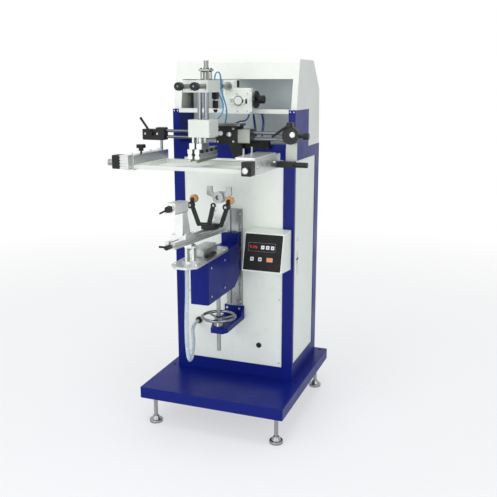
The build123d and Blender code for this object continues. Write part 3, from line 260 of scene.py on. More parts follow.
def glowing(name, colour, strength):
    """Lit segment of a number display, a little brighter at its heart."""
    made = Finish(name, colour, roughness=0.4)
    made.blotch(scale=500.0, detail=2.0, amount=0.5, colour=shaded(colour, 0.6))
    made.shader.inputs["Emission Color"].default_value = colour
    made.shader.inputs["Emission Strength"].default_value = strength
    return made.material


NAVY = display(11, 27, 116)
CREAM = display(239, 244, 235)
WORN_STEEL = display(120, 124, 134)
# noise squeezed along these axes, so that machining lines run across them
ACROSS_X, ACROSS_Y, ACROSS_Z, ACROSS_XY = (9.0, 1.0, 1.0), (1.0, 9.0, 1.0), (1.0, 1.0, 12.0), (9.0, 9.0, 1.0)

# one finish for each material slot of the record
finishes = {
    "navy_paint": painted("navy_enamel", NAVY, 0.38, display(46, 62, 142), coat=0.04, shine=0.13),
    "cream_paint": painted("cream_powder_coat", CREAM, 0.42, display(188, 190, 180)),
    "grey_paint": painted("grey_enamel", display(212, 222, 221), 0.50, WORN_STEEL),
    "white_paint": painted("white_enamel", display(218, 222, 214), 0.38, display(186, 188, 182), edge=0.0012),
    "black_metal": painted("black_oxide", display(24, 25, 27), 0.42, WORN_STEEL, edge=0.0010, shine=0.3),
    "black_plastic": moulded("black_moulding", display(15, 16, 18), 0.42, shine=0.3),
    # chrome plate whose base colour is darkened far below real chrome: a painted dark reflection
    "chrome": metal("chrome_darkened_for_painted_reflection", display(136, 139, 146), 0.14, lines=0.03),
    "steel": metal("ground_steel", display(160, 163, 164), 0.30, ACROSS_Z),
    "aluminium": metal("satin_aluminium", display(214, 217, 216), 0.36, ACROSS_Y),
    "tan_rubber": moulded("tan_silicone", display(214, 158, 96), 0.55, grain=700.0),
    "green_urethane": moulded("green_urethane", display(126, 134, 106), 0.35, grain=500.0, strength=0.10),
    "membrane": moulded("key_film", display(226, 232, 236), 0.32, grain=900.0, strength=0.08),
    "mesh_white": woven("screen_cloth", display(244, 246, 242)),
    "clear_tube": translucent("cloudy_tube", display(214, 228, 236)),
}
dull_steel = metal("dull_steel", display(138, 140, 134), 0.30, ACROSS_Y)
zinc = metal("zinc_plate", display(212, 214, 210), 0.28)

# nodes with a finish of their own, other than that of their slot
node_finishes = {
    "hood": painted("hood_powder_coat", display(225, 228, 221), 0.42, display(196, 198, 190)),
    # polished rods whose base colour is darkened further still: a painted dark reflection
    "cross_rods": metal("polished_rod_painted_dark_reflection", display(104, 107, 113), 0.15, ACROSS_X, lines=0.03),
    "stroke_cylinder": metal("ribbed_aluminium", display(150, 152, 150), 0.34, ACROSS_XY, lines=0.45),
    "control_face": moulded("black_panel_film", display(10, 11, 12), 0.45, grain=1200.0, strength=0.10,
                            shine=0.22),
    "bush_housing": dull_steel,
}
tube_finishes = {
    "blue_tube": translucent("blue_air_tube", display(72, 172, 222)),
    "navy_tube": translucent("dark_blue_air_tube", display(40, 62, 140)),
}

# finish and material slot of each kind of piece that only the scene has
trims = {
    "zinc": (zinc, "steel"),
    "zinc_on_casting": (zinc, "aluminium"),
    "dull_steel": (dull_steel, "steel"),
    "chrome": (finishes["chrome"], "steel"),
    "black_metal": (finishes["black_metal"], "black_metal"),
    "black_plastic": (finishes["black_plastic"], "black_plastic"),
    "cream_paint": (finishes["cream_paint"], "cream_paint"),
    # dark print for the key marks and scale ticks, and painted shade in the slide's slot and in the ring round its
    # cap
    "dark_print_and_painted_shade": (moulded("dark_print_and_painted_recess_shade", display(12, 12, 14), 0.8), "black_plastic"),
    "pale_line": (moulded("printed_line", display(150, 150, 168), 0.5, grain=900.0, strength=0.05),
                  "black_plastic"),
    "white_mark": (moulded("filled_mark", display(224, 226, 222), 0.5, grain=900.0, strength=0.05),
                   "membrane"),
    "orange_key": (moulded("orange_key_film", display(236, 148, 96), 0.34, grain=900.0, strength=0.08),
                   "membrane"),
    "red_glass": (moulded("red_window", display(70, 8, 18), 0.12, grain=300.0, strength=0.02),
                  "black_plastic"),
    "red_glow": (glowing("red_segments", display(238, 30, 52), strength=1.2), "black_plastic"),
}

for part in frame["record"]["subparts"]:
    mesh = nodes[part["node"]].data
    mesh.materials.clear()
    mesh.materials.append(finishes[part["material_slot"]])
for node, finish in node_finishes.items():
    nodes[node].data.materials[0] = finish


# ---------------------------------------------------------------- mesh helpers
SHARP_ANGLE = 35.0  # edges that turn by more than this are shaded sharp
# (radius, height) in shares of the head's radius
CAP_SCREW = ((1.0, 0.0), (1.0, 0.75), (0.88, 0.95), (0.55, 0.95), (0.55, 0.25), (0.05, 0.22))
CAP_SOCKET = 0.56
DOMED_SCREW = ((1.0, 0.0), (1.0, 0.18), (0.72, 0.42), (0.30, 0.50), (0.24, 0.20), (0.05, 0.18))
SCREW_TURN, BOLT_TURN = 0.7, 0.4  # radians by which each head is turned on from the last one


def centre(node):
    low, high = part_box(node)
    return (low + high) / 2


def joint_place(name):
    """Pivot of one of the frame's joints."""
    return [joint["pos_m"] for joint in frame["joints"] if joint["name"] == name][0]


def facing(point, direction, turn=0.0):
    """Matrix that stands a piece on point with its own Z along direction."""
    upright = Vector(direction).to_track_quat("Z", "Y").to_matrix().to_4x4()
    return Matrix.Translation(point) @ upright @ Matrix.Rotation(turn, 4, "Z")


def grid(xs, ys, zs):
    """Every point with these coordinates, x changing slowest."""
    return [Vector((x, y, z)) for x in xs for y in ys for z in zs]


def toward(direction, points):
    """Pairs each point with the direction that its screw head faces."""
    return [(point, direction) for point in points]


def spaced(low, high, inset, count):
    """Count values spread evenly from low to high, the outer two inset."""
    return [low + inset + (high - low - 2 * inset) * step / (count - 1) for step in range(count)]


def mesh_from(name, build):
    """Runs build(bm) and returns the mesh that it fills."""
    bm = bmesh.new()
    build(bm)
    bmesh.ops.recalc_face_normals(bm, faces=bm.faces)
    mesh = bpy.data.meshes.new(name)
    bm.to_mesh(mesh)
    bm.free()
    return mesh


def piece(name, build, trim, body, bevel=0.0):
    """Object that build(bm) shapes and that rides on a body, with softened edges."""
    finish, slot = trims[trim]
    mesh = mesh_from(name, build)
    mesh.materials.append(finish)
    mesh.shade_smooth()
    mesh.set_sharp_from_angle(angle=math.radians(SHARP_ANGLE))
    made = bpy.data.objects.new(name, mesh)
    scene.collection.objects.link(made)
    if bevel:
        rounded = made.modifiers.new("soft_edges", "BEVEL")
        rounded.width = bevel
        rounded.segments = 2
        rounded.limit_method = "ANGLE"
    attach(made, body)


def skin(bm, rings):
    """Joins rings of corners, laid one after the other, into a closed surface with flat ends."""
    count = len(rings[0])
    for lower, upper in zip(rings, rings[1:]):
        for step in range(count):
            after = (step + 1) % count
            bm.faces.new((lower[step], lower[after], upper[after], upper[step]))
    bm.faces.new(reversed(rings[0]))
    bm.faces.new(rings[-1])


def turned(bm, outline, matrix, steps=24, socket=0.0):
    """Adds a profile turned about Z; rings no wider than socket become a hexagon."""
    half_flat = math.pi / 6
    rings = []
    for radius, height in outline:
        ring = []
        for step in range(steps):
            angle = math.tau * step / steps
            reach = radius
            if 0 < radius <= socket:
                reach = radius * math.cos(half_flat) / math.cos(angle % (2 * half_flat) - half_flat)
            corner = Vector((reach * math.cos(angle), reach * math.sin(angle), height))
            ring.append(bm.verts.new(matrix @ corner))
        rings.append(ring)
    skin(bm, rings)


def slab(bm, size, matrix, corner=0.0):
    """Adds a box standing on its own XY plane, with its upright edges cut off by corner."""
    x, y, height = size[0] / 2, size[1] / 2, size[2]
    plan = [(x, -y), (x, y), (-x, y), (-x, -y)]
    if corner:
        near_x, near_y = x - corner, y - corner
        plan = [(near_x, -y), (x, -near_y), (x, near_y), (near_x, y),
                (-near_x, y), (-x, near_y), (-x, -near_y), (-near_x, -y)]
    skin(bm, [[bm.verts.new(matrix @ Vector((px, py, z))) for px, py in plan] for z in (0.0, height)])


def scaled(shape, radius):
    return [(radius * across, radius * rise) for across, rise in shape]


def cap_screws(name, places, trim, body, radius):
    """Socket head cap screws; places are (point, direction) pairs on the face that carries them."""
    def build(bm):
        for index, (point, direction) in enumerate(places):
            turned(bm, scaled(CAP_SCREW, radius), facing(point, direction, index * SCREW_TURN),
                   socket=radius * CAP_SOCKET)

    piece(name, build, trim, body)


def panel_screws(name, places, body, radius):
    """Low domed zinc screws with a dimple in the head."""
    def build(bm):
        for point, direction in places:
            turned(bm, scaled(DOMED_SCREW, radius), facing(point, direction), steps=20)

    piece(name, build, "zinc", body)


def hex_bolts(name, places, body, across):
    """Hexagon heads of zinc on round washers; across is the width over the flats."""
    radius, thick = across / math.sqrt(3), across * 0.10
    washer = [(across * 0.62, 0.0), (across * 0.62, across * 0.09), (radius * 0.95, thick)]
    head = [(radius, 0.0), (radius, across * 0.36), (radius * 0.82, across * 0.42),
            (radius * 0.1, across * 0.42)]

    def build(bm):
        for index, (point, direction) in enumerate(places):
            base = facing(point, direction, index * BOLT_TURN)
            turned(bm, washer, base)
            turned(bm, head, base @ Matrix.Translation((0, 0, thick)), steps=6)

    piece(name, build, "zinc", body, bevel=across * 0.03)


def ring_of(name, outline, point, direction, trim, body, steps=40):
    """One turned piece, such as a bush, gland or cap."""
    piece(name, lambda bm: turned(bm, outline, facing(point, direction), steps), trim, body)


def block(name, size, matrix, trim, body, corner, bevel=0.0):
    """One slab as a piece of its own."""
    piece(name, lambda bm: slab(bm, size, matrix, corner), trim, body, bevel)


# ---------------------------------------------------------------- column, plinth and hood
POST_WIDTH = 0.050
SCREW_OFF_POST = 0.014
SCREW_OFF_END = 0.020
PANEL_SETBACK = 0.005  # the front panel's face lies this far inside the box of all panels
CHEEK_SCREW_X, CHEEK_SCREW_DROP = (0.260, 0.276), 0.008
HOOD_SCREW_Y = (0.05, 0.11, 0.17)
HOOD_SCREW_RISE = 1.075  # above the column's foot
CABLE_HOLE_X, CABLE_HOLE_Z = 0.123, 0.336
DOOR_FACE = 0.281
LATCH_IN = 0.0455  # from the door's front edge
LATCH_Z = 0.722


def column_details():
    low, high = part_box("cover_panels")
    column_low, column_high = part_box("column_frame")
    reach = POST_WIDTH + SCREW_OFF_POST
    columns = (column_low.x + reach, column_high.x - reach)
    rows = spaced(low.z, high.z, SCREW_OFF_END, 4)
    for name, direction, face in (("front_panel_screws", FRONT, low.y + PANEL_SETBACK),
                                  ("rear_panel_screws", REAR, high.y)):
        panel_screws(name, toward(direction, grid(columns, (face,), rows)), "machine", radius=0.0042)
    cheek_x = [side * x for side in (-1, 1) for x in CHEEK_SCREW_X]
    cheeks = grid(cheek_x, (column_low.y,), (column_high.z - CHEEK_SCREW_DROP,))
    panel_screws("cheek_screws", toward(FRONT, cheeks), "machine", radius=0.0032)
    hood_low, hood_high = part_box("hood")
    hood_places = []
    for x, direction in ((hood_low.x, LEFT), (hood_high.x, RIGHT)):
        hood_places += [(placed(x, y, column_low.z + HOOD_SCREW_RISE), direction) for y in HOOD_SCREW_Y]
    panel_screws("hood_screws", hood_places, "machine", radius=0.0045)


def panel_holes():
    """Rubber bush round the cable hole, and the gland that the air hose enters."""
    front_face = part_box("cover_panels")[0].y + PANEL_SETBACK
    bush = [(0.0125, 0.0), (0.0125, 0.0018), (0.0105, 0.0030), (0.0068, 0.0030), (0.0062, -0.0010)]
    ring_of("cable_hole_bush", bush, Vector((CABLE_HOLE_X, front_face, CABLE_HOLE_Z)), FRONT,
            "black_plastic", "machine")
    collar = [(0.0160, 0.0), (0.0160, 0.006), (0.0130, 0.009), (0.0105, 0.016), (0.0086, 0.016),
              (0.0084, 0.0)]
    seat = placed(*HOSE_ROUTE[-1]) + Vector((0, 0.001, 0))
    ring_of("hose_gland", collar, seat, FRONT, "black_plastic", "machine")


def door_details():
    low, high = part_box("side_door")
    latch_y = low.y + LATCH_IN
    latch = Vector((DOOR_FACE - 0.006, latch_y, LATCH_Z))
    grip = latch + Vector((0.003, 0, 0.020))

    def build(bm):
        slab(bm, (0.100, 0.0105, 0.0030), facing(latch, RIGHT), corner=0.002)
        slab(bm, (0.030, 0.0070, 0.0045), facing(grip, RIGHT), corner=0.002)

    piece("door_latch", build, "black_plastic", "door", bevel=0.0006)
    lock = [(0.0085, 0.0), (0.0085, 0.0016), (0.0070, 0.0026), (0.0020, 0.0026), (0.0016, 0.0010)]
    lock_z = low.z + (high.z - low.z) * 0.62
    ring_of("door_lock", lock, Vector((DOOR_FACE, latch_y, lock_z)), RIGHT, "zinc", "door")


# ---------------------------------------------------------------- control face
FACE_TILT = 14.87  # the control face leans back by this angle
FACE_OFF_CENTRE = 0.00075  # from the centre of the face's box back to its middle plane
READING = "0125"
# each segment's place in half widths and half heights of a digit, and whether it lies flat
SEGMENTS = {"a": (0, 1, 1), "b": (1, 0.5, 0), "c": (1, -0.5, 0), "d": (0, -1, 1), "e": (-1, -0.5, 0),
            "f": (-1, 0.5, 0), "g": (0, 0, 1)}
DIGITS = {"0": "abcdef", "1": "bc", "2": "abged", "5": "afgcd"}
SEGMENT_LONG, SEGMENT_WIDE, PRINT_THICK = 0.0038, 0.0009, 0.0003
# millimetres across and up the face, from its middle, and off its middle plane
DIGIT_START, DIGIT_PITCH, DIGIT_HALF_WIDE, DIGIT_HALF_HIGH = -55.5, 8.4, 2.2, 4.6
DISPLAY_ROW, KEY_ROW = 22, -29
WINDOW_X, START_KEY_X = -43, 33
ARROW_X, BAR_X, SQUARE_X, DOT_X = (20, 42), -2, -46, -10
BORDER_X, BORDER_WIDTH, BORDER_HEIGHT = -6, 120, 36
BORDER_LIFT, START_KEY_LIFT, WINDOW_LIFT, DIGIT_LIFT, MARK_LIFT = 1.5, 2.0, 2.02, 2.1, 2.7


def control_details():
    lean = math.radians(FACE_TILT)
    across = Vector((1, 0, 0))
    up = Vector((0, math.sin(lean), math.cos(lean)))
    out = Vector((0, -math.cos(lean), math.sin(lean)))
    middle = centre("control_face") - out * FACE_OFF_CENTRE
    basis = Matrix((across, up, out)).transposed().to_4x4()

    def on_face(x, y, lift):
        """Matrix at these millimetres across and up the face and lifted off it."""
        return Matrix.Translation(middle + across * x * MM + up * y * MM + out * lift * MM) @ basis

    def digits(bm):
        for place, digit in enumerate(READING):
            for name in DIGITS[digit]:
                x, y, flat = SEGMENTS[name]
                size = (SEGMENT_LONG, SEGMENT_WIDE) if flat else (SEGMENT_WIDE, SEGMENT_LONG)
                spot = on_face(DIGIT_START + DIGIT_PITCH * place + x * DIGIT_HALF_WIDE,
                               DISPLAY_ROW + y * DIGIT_HALF_HIGH, DIGIT_LIFT)
                slab(bm, (*size, PRINT_THICK), spot, corner=0.0003)

    def border(bm):
        line, thick = 0.0008, 0.0002
        for side in (-1, 1):
            slab(bm, (BORDER_WIDTH * MM, line, thick),
                 on_face(BORDER_X, DISPLAY_ROW + side * BORDER_HEIGHT / 2, BORDER_LIFT))
            slab(bm, (line, BORDER_HEIGHT * MM, thick),
                 on_face(BORDER_X + side * BORDER_WIDTH / 2, DISPLAY_ROW, BORDER_LIFT))

    def key_marks(bm):
        """Two arrows, a bar, a square and a dot printed on the keys."""
        thick = 0.00025
        mark = [(0.0034, 0.0), (0.0034, thick)]
        for x, turn in zip(ARROW_X, (0.0, math.pi)):
            base = on_face(x, DISPLAY_ROW, MARK_LIFT) @ Matrix.Rotation(turn, 4, "Z")
            turned(bm, mark, base @ Matrix.Rotation(math.pi / 2, 4, "Z"), steps=3)
        slab(bm, (0.0060, 0.0014, thick), on_face(BAR_X, DISPLAY_ROW, MARK_LIFT))
        slab(bm, (0.0060, 0.0060, thick), on_face(SQUARE_X, KEY_ROW, MARK_LIFT))
        turned(bm, mark, on_face(DOT_X, KEY_ROW, MARK_LIFT))

    piece("display_digits", digits, "red_glow", "machine")
    window = on_face(WINDOW_X, DISPLAY_ROW, WINDOW_LIFT)
    block("display_window", (0.0366, 0.0126, PRINT_THICK), window, "red_glass", "machine", corner=0.0004)
    start_key = on_face(START_KEY_X, KEY_ROW, START_KEY_LIFT)
    block("start_key", (0.0272, 0.0182, 0.0010), start_key, "orange_key", "machine", corner=0.0030,
          bevel=0.0004)
    piece("panel_border", border, "pale_line", "machine")
    piece("key_marks", key_marks, "dark_print_and_painted_shade", "machine")


# ---------------------------------------------------------------- knee, lift and table
GUIDE_ROWS = 6
KNEE_SCREW_Y, KNEE_SCREW_Z = (0.03, 0.17), (0.03, 0.150)  # from the knee box's front and foot
TABLE_SCREW_X = 0.044


def guide_details():
    """Screws of the guide plate: the rows that the knee slides over are flush plugs."""
    low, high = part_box("guide_plate")
    screws, plugs = [], []
    for x in (low.x + 0.007, high.x - 0.006):
        for row, z in enumerate(spaced(low.z, high.z, SCREW_OFF_END, GUIDE_ROWS)):
            kept = screws if row in (0, GUIDE_ROWS - 1) else plugs
            kept.append((Vector((x, high.y - 0.018, z)), FRONT))
    cap_screws("guide_screws", screws, "zinc", "machine", radius=0.0042)
    plug = [(0.0046, -0.0002), (0.0046, 0.0001), (0.0043, 0.0002), (0.0002, 0.0002)]

    def build(bm):
        for place, direction in plugs:
            turned(bm, plug, facing(place, direction), steps=20)

    piece("guide_plugs", build, "chrome", "machine")


def knee_details():
    guide_details()
    low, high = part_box("shelf_bracket")
    shelf = grid((low.x + 0.014, high.x - 0.020), (high.y - 0.010,), (high.z - 0.012,))
    cap_screws("shelf_screws", toward(FRONT, shelf), "zinc", "machine", radius=0.006)
    low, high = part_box("table_plate")
    table_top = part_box("tilt_cradle")[0].z
    table = grid((-TABLE_SCREW_X, TABLE_SCREW_X), (low.y + 0.045, high.y - 0.062), (table_top,))
    cap_screws("table_screws", toward(UP, table), "zinc", "knee", radius=0.0055)
    low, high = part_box("knee_box")
    knee = grid((high.x,), [low.y + y for y in KNEE_SCREW_Y], [low.z + z for z in KNEE_SCREW_Z])
    panel_screws("knee_screws", toward(RIGHT, knee), "knee", radius=0.0045)
    wheel = centre("handwheel")
    nut = [(0.0150, 0.0), (0.0150, 0.006), (0.0135, 0.008), (0.0096, 0.008), (0.0094, 0.0)]
    ring_of("wheel_lock_ring", nut, Vector((0.003, wheel.y, wheel.z + 0.0045)), UP, "zinc", "lift_wheel")


# ---------------------------------------------------------------- printing jig
JIG_TILT = -3.2
# millimetres on the tilted rail, from the tilt pivot
RAIL_TOP = 62
QUILL_Z = 167
SCALE_X, SCALE_Z = 20, 40.5
SCALE_START, SCALE_PITCH, SCALE_MARKS = -150, 10, 29


def in_jig(x, y, z):
    """Point given in millimetres on the tilted rail, from the tilt pivot."""
    tilt = Matrix.Rotation(math.radians(JIG_TILT), 4, "X")
    return Matrix.Translation(joint_place("jig_tilt")) @ tilt @ Vector((x * MM, y * MM, z * MM))


def jig_direction(x, y, z):
    return Matrix.Rotation(math.radians(JIG_TILT), 3, "X") @ Vector((x, y, z))


def jig_details():
    up, right, back = jig_direction(*UP), jig_direction(*RIGHT), jig_direction(*REAR)
    tailstock = [in_jig(x, y, RAIL_TOP) for x in (-23, 23) for y in (-95, -33)]
    cap_screws("tailstock_screws", toward(up, tailstock), "zinc_on_casting", "tail", radius=0.0048)
    headstock = [in_jig(x, 266, RAIL_TOP) for x in (-20, 20)]
    cap_screws("headstock_screws", toward(up, headstock), "zinc", "jig", radius=0.0048)
    tower = [in_jig(x, 290, z) for x in (-21, 21) for z in (80, 108)]
    cap_screws("tower_screws", toward(-back, tower), "zinc", "jig", radius=0.0038)
    arm_base = [in_jig(x, 201, 66) for x in (-22, 22)]
    cap_screws("arm_base_screws", toward(up, arm_base), "zinc", "jig", radius=0.0042)
    hubs = [in_jig(x, 168, 141) for x in (-82, 76)]
    cap_screws("hub_screws", toward(-back, hubs), "zinc", "jig", radius=0.0056)
    bush = [(0.0125, 0.0), (0.0125, 0.0025), (0.0110, 0.0035), (0.0074, 0.0035), (0.0073, 0.0)]
    ring_of("quill_bush", bush, in_jig(0, -67, QUILL_Z), back, "zinc", "tail")
    collar = [(0.0150, 0.0), (0.0150, 0.003), (0.0138, 0.004), (0.0128, 0.004), (0.0124, 0.0)]
    ring_of("knob_collar", collar, in_jig(0, -177, QUILL_Z), -back, "zinc", "tail")

    def ticks(bm):
        for mark in range(SCALE_MARKS):
            length = 0.0050 if mark % 5 == 0 else 0.0030
            tick = in_jig(SCALE_X, SCALE_START + mark * SCALE_PITCH, SCALE_Z)
            slab(bm, (length, 0.0005, 0.0002), facing(tick, right))

    piece("rail_scale", ticks, "dark_print_and_painted_shade", "jig")


# ---------------------------------------------------------------- print head
SLEEVE_LENGTH = 0.0720  # of the adjusting knobs' stems
CROSSHEAD_SCREW_X = (-0.052, 0.0, 0.034)
CYLINDER_X, CYLINDER_Y = 0.0, -0.468
CYLINDER_SCREW_OFF = 0.015
SLIDE_CAP_X, SLIDE_CAP_Z = 0.050, 1.431
SLIDE_SLOT_X, SLIDE_SLOT_Z = 0.086, 1.429
SLIDE_SCREW_X, SLIDE_SCREW_Z = (-0.010, 0.044, 0.090), (1.389, 1.460)
DIAL_INNER_X, DIAL_RADIUS, DIAL_MARKS = 0.1125, 0.0359, 40


def adjuster_details():
    """Cap in the face of each adjusting knob, and the sleeve round its stem."""
    disc = [(0.0038, 0.0), (0.0038, 0.0006), (0.0030, 0.0010), (0.0018, 0.0010), (0.0016, 0.0003),
            (0.0002, 0.0003)]
    sleeve = [(0.0080, 0.0), (0.0094, 0.0015), (0.0094, SLEEVE_LENGTH - 0.0020), (0.0086, SLEEVE_LENGTH),
              (0.0070, SLEEVE_LENGTH)]
    start_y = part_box("crosshead")[0].y - 0.0745
    for name, body in (("left_adjust_knob", "left_adjuster"), ("right_adjust_knob", "right_adjuster")):
        middle = centre(name)
        face = Vector((middle.x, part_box(name)[0].y, middle.z))
        ring_of(name + "_cap", disc, face, FRONT, "chrome", body)
        ring_of(name + "_sleeve", sleeve, Vector((face.x, start_y, face.z)), REAR, "dull_steel", body)


def crosshead_details():
    bar_low, bar_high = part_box("crosshead")
    bar = grid(CROSSHEAD_SCREW_X, (bar_low.y,), (bar_low.z + 0.010,))
    cap_screws("crosshead_screws", toward(FRONT, bar), "zinc", "head", radius=0.0035)
    seat = placed(CYLINDER_X, CYLINDER_Y, bar_high.z + 0.0305)
    block("cylinder_gasket", (0.0370, 0.0370, 0.0034), Matrix.Translation(seat), "black_plastic", "head",
          corner=0.0050)
    flange_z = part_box("stroke_cylinder")[0].z + 0.042
    sides = (-CYLINDER_SCREW_OFF, CYLINDER_SCREW_OFF)
    flange = [placed(CYLINDER_X + x, CYLINDER_Y + y, flange_z) for x in sides for y in sides]
    cap_screws("cylinder_screws", toward(UP, flange), "black_metal", "head", radius=0.0042)
    low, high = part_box("head_box")
    corners = grid((high.x,), (low.y + 0.012, high.y - 0.012), (low.z + 0.010, high.z - 0.010))
    cap_screws("head_box_screws", toward(RIGHT, corners), "zinc", "stroke", radius=0.0032)


def slide_details():
    """Front of the slide unit, with painted shade in its slot and round its cap, the post behind it with a strip
    of painted shadow beside it, and the head shaft's collar.
    """
    unit_low, unit_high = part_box("slide_unit")
    cap_at = Vector((SLIDE_CAP_X, unit_low.y, SLIDE_CAP_Z))
    cap = [(0.0170, -0.0002), (0.0170, 0.0030), (0.0155, 0.0042), (0.0050, 0.0042), (0.0045, 0.0034),
           (0.0002, 0.0034)]
    ring_of("slide_cap", cap, cap_at, FRONT, "cream_paint", "machine")
    # dark flat ring round the cap: painted shade in the groove about its foot
    groove_shade_ring = [(0.0196, -0.0002), (0.0196, 0.0006), (0.0171, 0.0006), (0.0171, -0.0002)]
    ring_of("slide_cap_painted_groove_shade", groove_shade_ring, cap_at, FRONT, "dark_print_and_painted_shade", "machine")
    # thin dark sheet on the face: the slot's depth is painted shade
    slot_at = Vector((SLIDE_SLOT_X, unit_low.y, SLIDE_SLOT_Z))
    block("slide_slot_painted_shade", (0.0065, 0.0220, 0.0006), facing(slot_at, FRONT), "dark_print_and_painted_shade", "machine",
          corner=0.0030)
    post_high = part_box("head_post")[1]
    # black strip beside the post: painted shadow in the gap between post and window
    shadow_strip_at = Vector((post_high.x + 0.0035, post_high.y - 0.006, unit_high.z + 0.002))
    block("post_painted_shadow_strip", (0.0070, 0.0110, post_high.z - unit_high.z - 0.004), Matrix.Translation(shadow_strip_at),
          "black_plastic", "head", corner=0.0010, bevel=0.0006)
    collar = [(0.0115, 0.0), (0.0135, 0.0012), (0.0135, 0.0150), (0.0115, 0.0162), (0.0111, 0.0162)]
    collar_at = placed(0.005, -0.357, centre("head_shaft").z)
    ring_of("shaft_collar", collar, collar_at, REAR, "black_metal", "head")
    front = grid(SLIDE_SCREW_X, (unit_low.y + 0.005,), SLIDE_SCREW_Z)
    cap_screws("slide_screws", toward(FRONT, front), "zinc", "machine", radius=0.0036)


def dial_marks():
    """Ticks round the feed dial's rim, with a longer one at every fifth."""
    shaft = joint_place("cross_feed_turn")
    along = Vector((1, 0, 0))

    def build(bm):
        for mark in range(DIAL_MARKS):
            angle = math.tau * mark / DIAL_MARKS
            length = 0.0085 if mark % 5 == 0 else 0.0050
            out = Vector((0, math.cos(angle), math.sin(angle)))
            point = Vector((DIAL_INNER_X + length / 2, shaft[1], shaft[2])) + out * DIAL_RADIUS
            upright = Matrix((along, out.cross(along), out)).transposed().to_4x4()
            slab(bm, (length, 0.0008, 0.0003), Matrix.Translation(point) @ upright)

    piece("dial_marks", build, "white_mark", "cross_feed")


def fittings():
    """Push-in air fittings that hang under the crosshead, and the nut between them."""
    bar_low, bar_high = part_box("crosshead")
    top = Vector((0.028, bar_high.y - 0.020, bar_low.z))
    nozzle = [(0.0085, 0.0), (0.0085, 0.006), (0.0060, 0.008), (0.0060, 0.012), (0.001, 0.012)]

    def below(drop):
        return top - Vector((0, 0, drop))

    def build(bm):
        slab(bm, (0.024, 0.022, 0.026), facing(below(0.026), UP), corner=0.003)
        slab(bm, (0.020, 0.020, 0.030), facing(below(0.062), UP), corner=0.003)
        for drop in (0.026, 0.066):
            turned(bm, nozzle, facing(below(drop), DOWN), steps=20)

    piece("valve_fittings", build, "black_plastic", "head", bevel=0.0008)
    nut = [(0.0112, 0.0), (0.0112, 0.004), (0.0100, 0.005), (0.0050, 0.005), (0.0048, 0.0)]
    ring_of("valve_nut", nut, below(0.032), UP, "zinc", "head", steps=6)


# ---------------------------------------------------------------- screen carriage
# x and z of the heads on the bearing block's front
BLOCK_BOLTS = ((0.010, 1.301), (0.047, 1.298))
BLOCK_SCREWS = ((0.066, 1.321), (0.066, 1.270), (-0.003, 1.322), (-0.003, 1.268))
CLAMP_BOLT_X, CLAMP_BOLT_Z = 0.311, 1.301
CLAMP_SCREW_X, CLAMP_SCREW_Z = (-0.350, -0.292), 1.291
LEFT_ARM_X, LEFT_ARM_SCREW_Y = -0.280, (-0.581, -0.421, -0.351)
RIGHT_ARM_X, RIGHT_ARM_SCREW_Y, RIGHT_ARM_SCREW_Z = 0.250, (-0.576, -0.371), 1.195
THUMB_SCREWS, THUMB_PITCH, THUMB_Z = 4, 0.046, 1.243


def carriage_details():
    block_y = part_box("bearing_block")[0].y
    bolts = [Vector((x, block_y, z)) for x, z in BLOCK_BOLTS]
    screws = [Vector((x, block_y, z)) for x, z in BLOCK_SCREWS]
    hex_bolts("block_bolts", toward(FRONT, bolts), "machine", across=0.016)
    cap_screws("block_screws", toward(FRONT, screws), "zinc", "machine", radius=0.0042)
    clamp_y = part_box("rod_clamps")[0].y
    clamp_bolt = Vector((CLAMP_BOLT_X, clamp_y, CLAMP_BOLT_Z))
    hex_bolts("clamp_bolt", toward(FRONT, [clamp_bolt]), "carriage", across=0.019)
    clamp = grid(CLAMP_SCREW_X, (clamp_y + 0.001,), (CLAMP_SCREW_Z,))
    cap_screws("clamp_cap_screws", toward(FRONT, clamp), "zinc", "carriage", radius=0.0048)
    arm_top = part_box("screen_arms")[1].z - 0.004
    left = [placed(LEFT_ARM_X, y, arm_top) for y in LEFT_ARM_SCREW_Y]
    cap_screws("arm_screws", toward(UP, left), "zinc", "carriage", radius=0.0055)
    right = [placed(RIGHT_ARM_X, y, RIGHT_ARM_SCREW_Z) for y in RIGHT_ARM_SCREW_Y]
    cap_screws("arm_side_screws", toward(RIGHT, right), "zinc", "carriage", radius=0.0050)
    end_caps()
    holder_screws()


def end_caps():
    """Dimpled disc in the outer face of each end knob."""
    disc = [(0.0070, 0.0), (0.0066, 0.0008), (0.0040, 0.0010), (0.0036, 0.0004), (0.0002, 0.0004)]
    left, right = "left_end_knob", "right_end_knob"
    left_middle, right_middle = centre(left), centre(right)
    left_face = Vector((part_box(left)[0].x, left_middle.y, left_middle.z))
    right_face = Vector((right_middle.x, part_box(right)[0].y, right_middle.z))
    ring_of(left + "_cap", disc, left_face, LEFT, "zinc", "left_end")
    ring_of(right + "_cap", disc, right_face, FRONT, "zinc", "right_end")


def holder_screws():
    """Thumb screws that pinch the squeegee and the flood bar in their holders."""
    outline = [(0.0060, 0.0), (0.0066, 0.001), (0.0066, 0.006), (0.0058, 0.007), (0.0022, 0.007),
               (0.0020, 0.0055)]
    squeegee_x, flood_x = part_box("squeegee_holder")[1].x - 0.002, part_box("flood_bar")[0].x + 0.002
    for node, body, x, direction in (("squeegee_holder", "squeegee", squeegee_x, RIGHT),
                                     ("flood_bar", "flood", flood_x, LEFT)):
        start_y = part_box(node)[0].y + 0.022

        def build(bm):
            for step in range(THUMB_SCREWS):
                point = Vector((x, start_y + step * THUMB_PITCH, THUMB_Z))
                turned(bm, outline, facing(point, direction), steps=16)

        piece(node + "_screws", build, "black_metal", body)


# ---------------------------------------------------------------- air hose and tubes
HOSE_DIAMETER = 0.016
HOSE_ROUTE = [
    (0.003, -0.683, 0.803),
    (0.003, -0.683, 0.715),
    (-0.003, -0.687, 0.585),
    (-0.006, -0.676, 0.470),
    (-0.024, -0.618, 0.396),
    (-0.066, -0.500, 0.376),
    (-0.118, -0.372, 0.388),
    (-0.172, -0.280, 0.424),
    (-0.172, -0.197, 0.424),
]
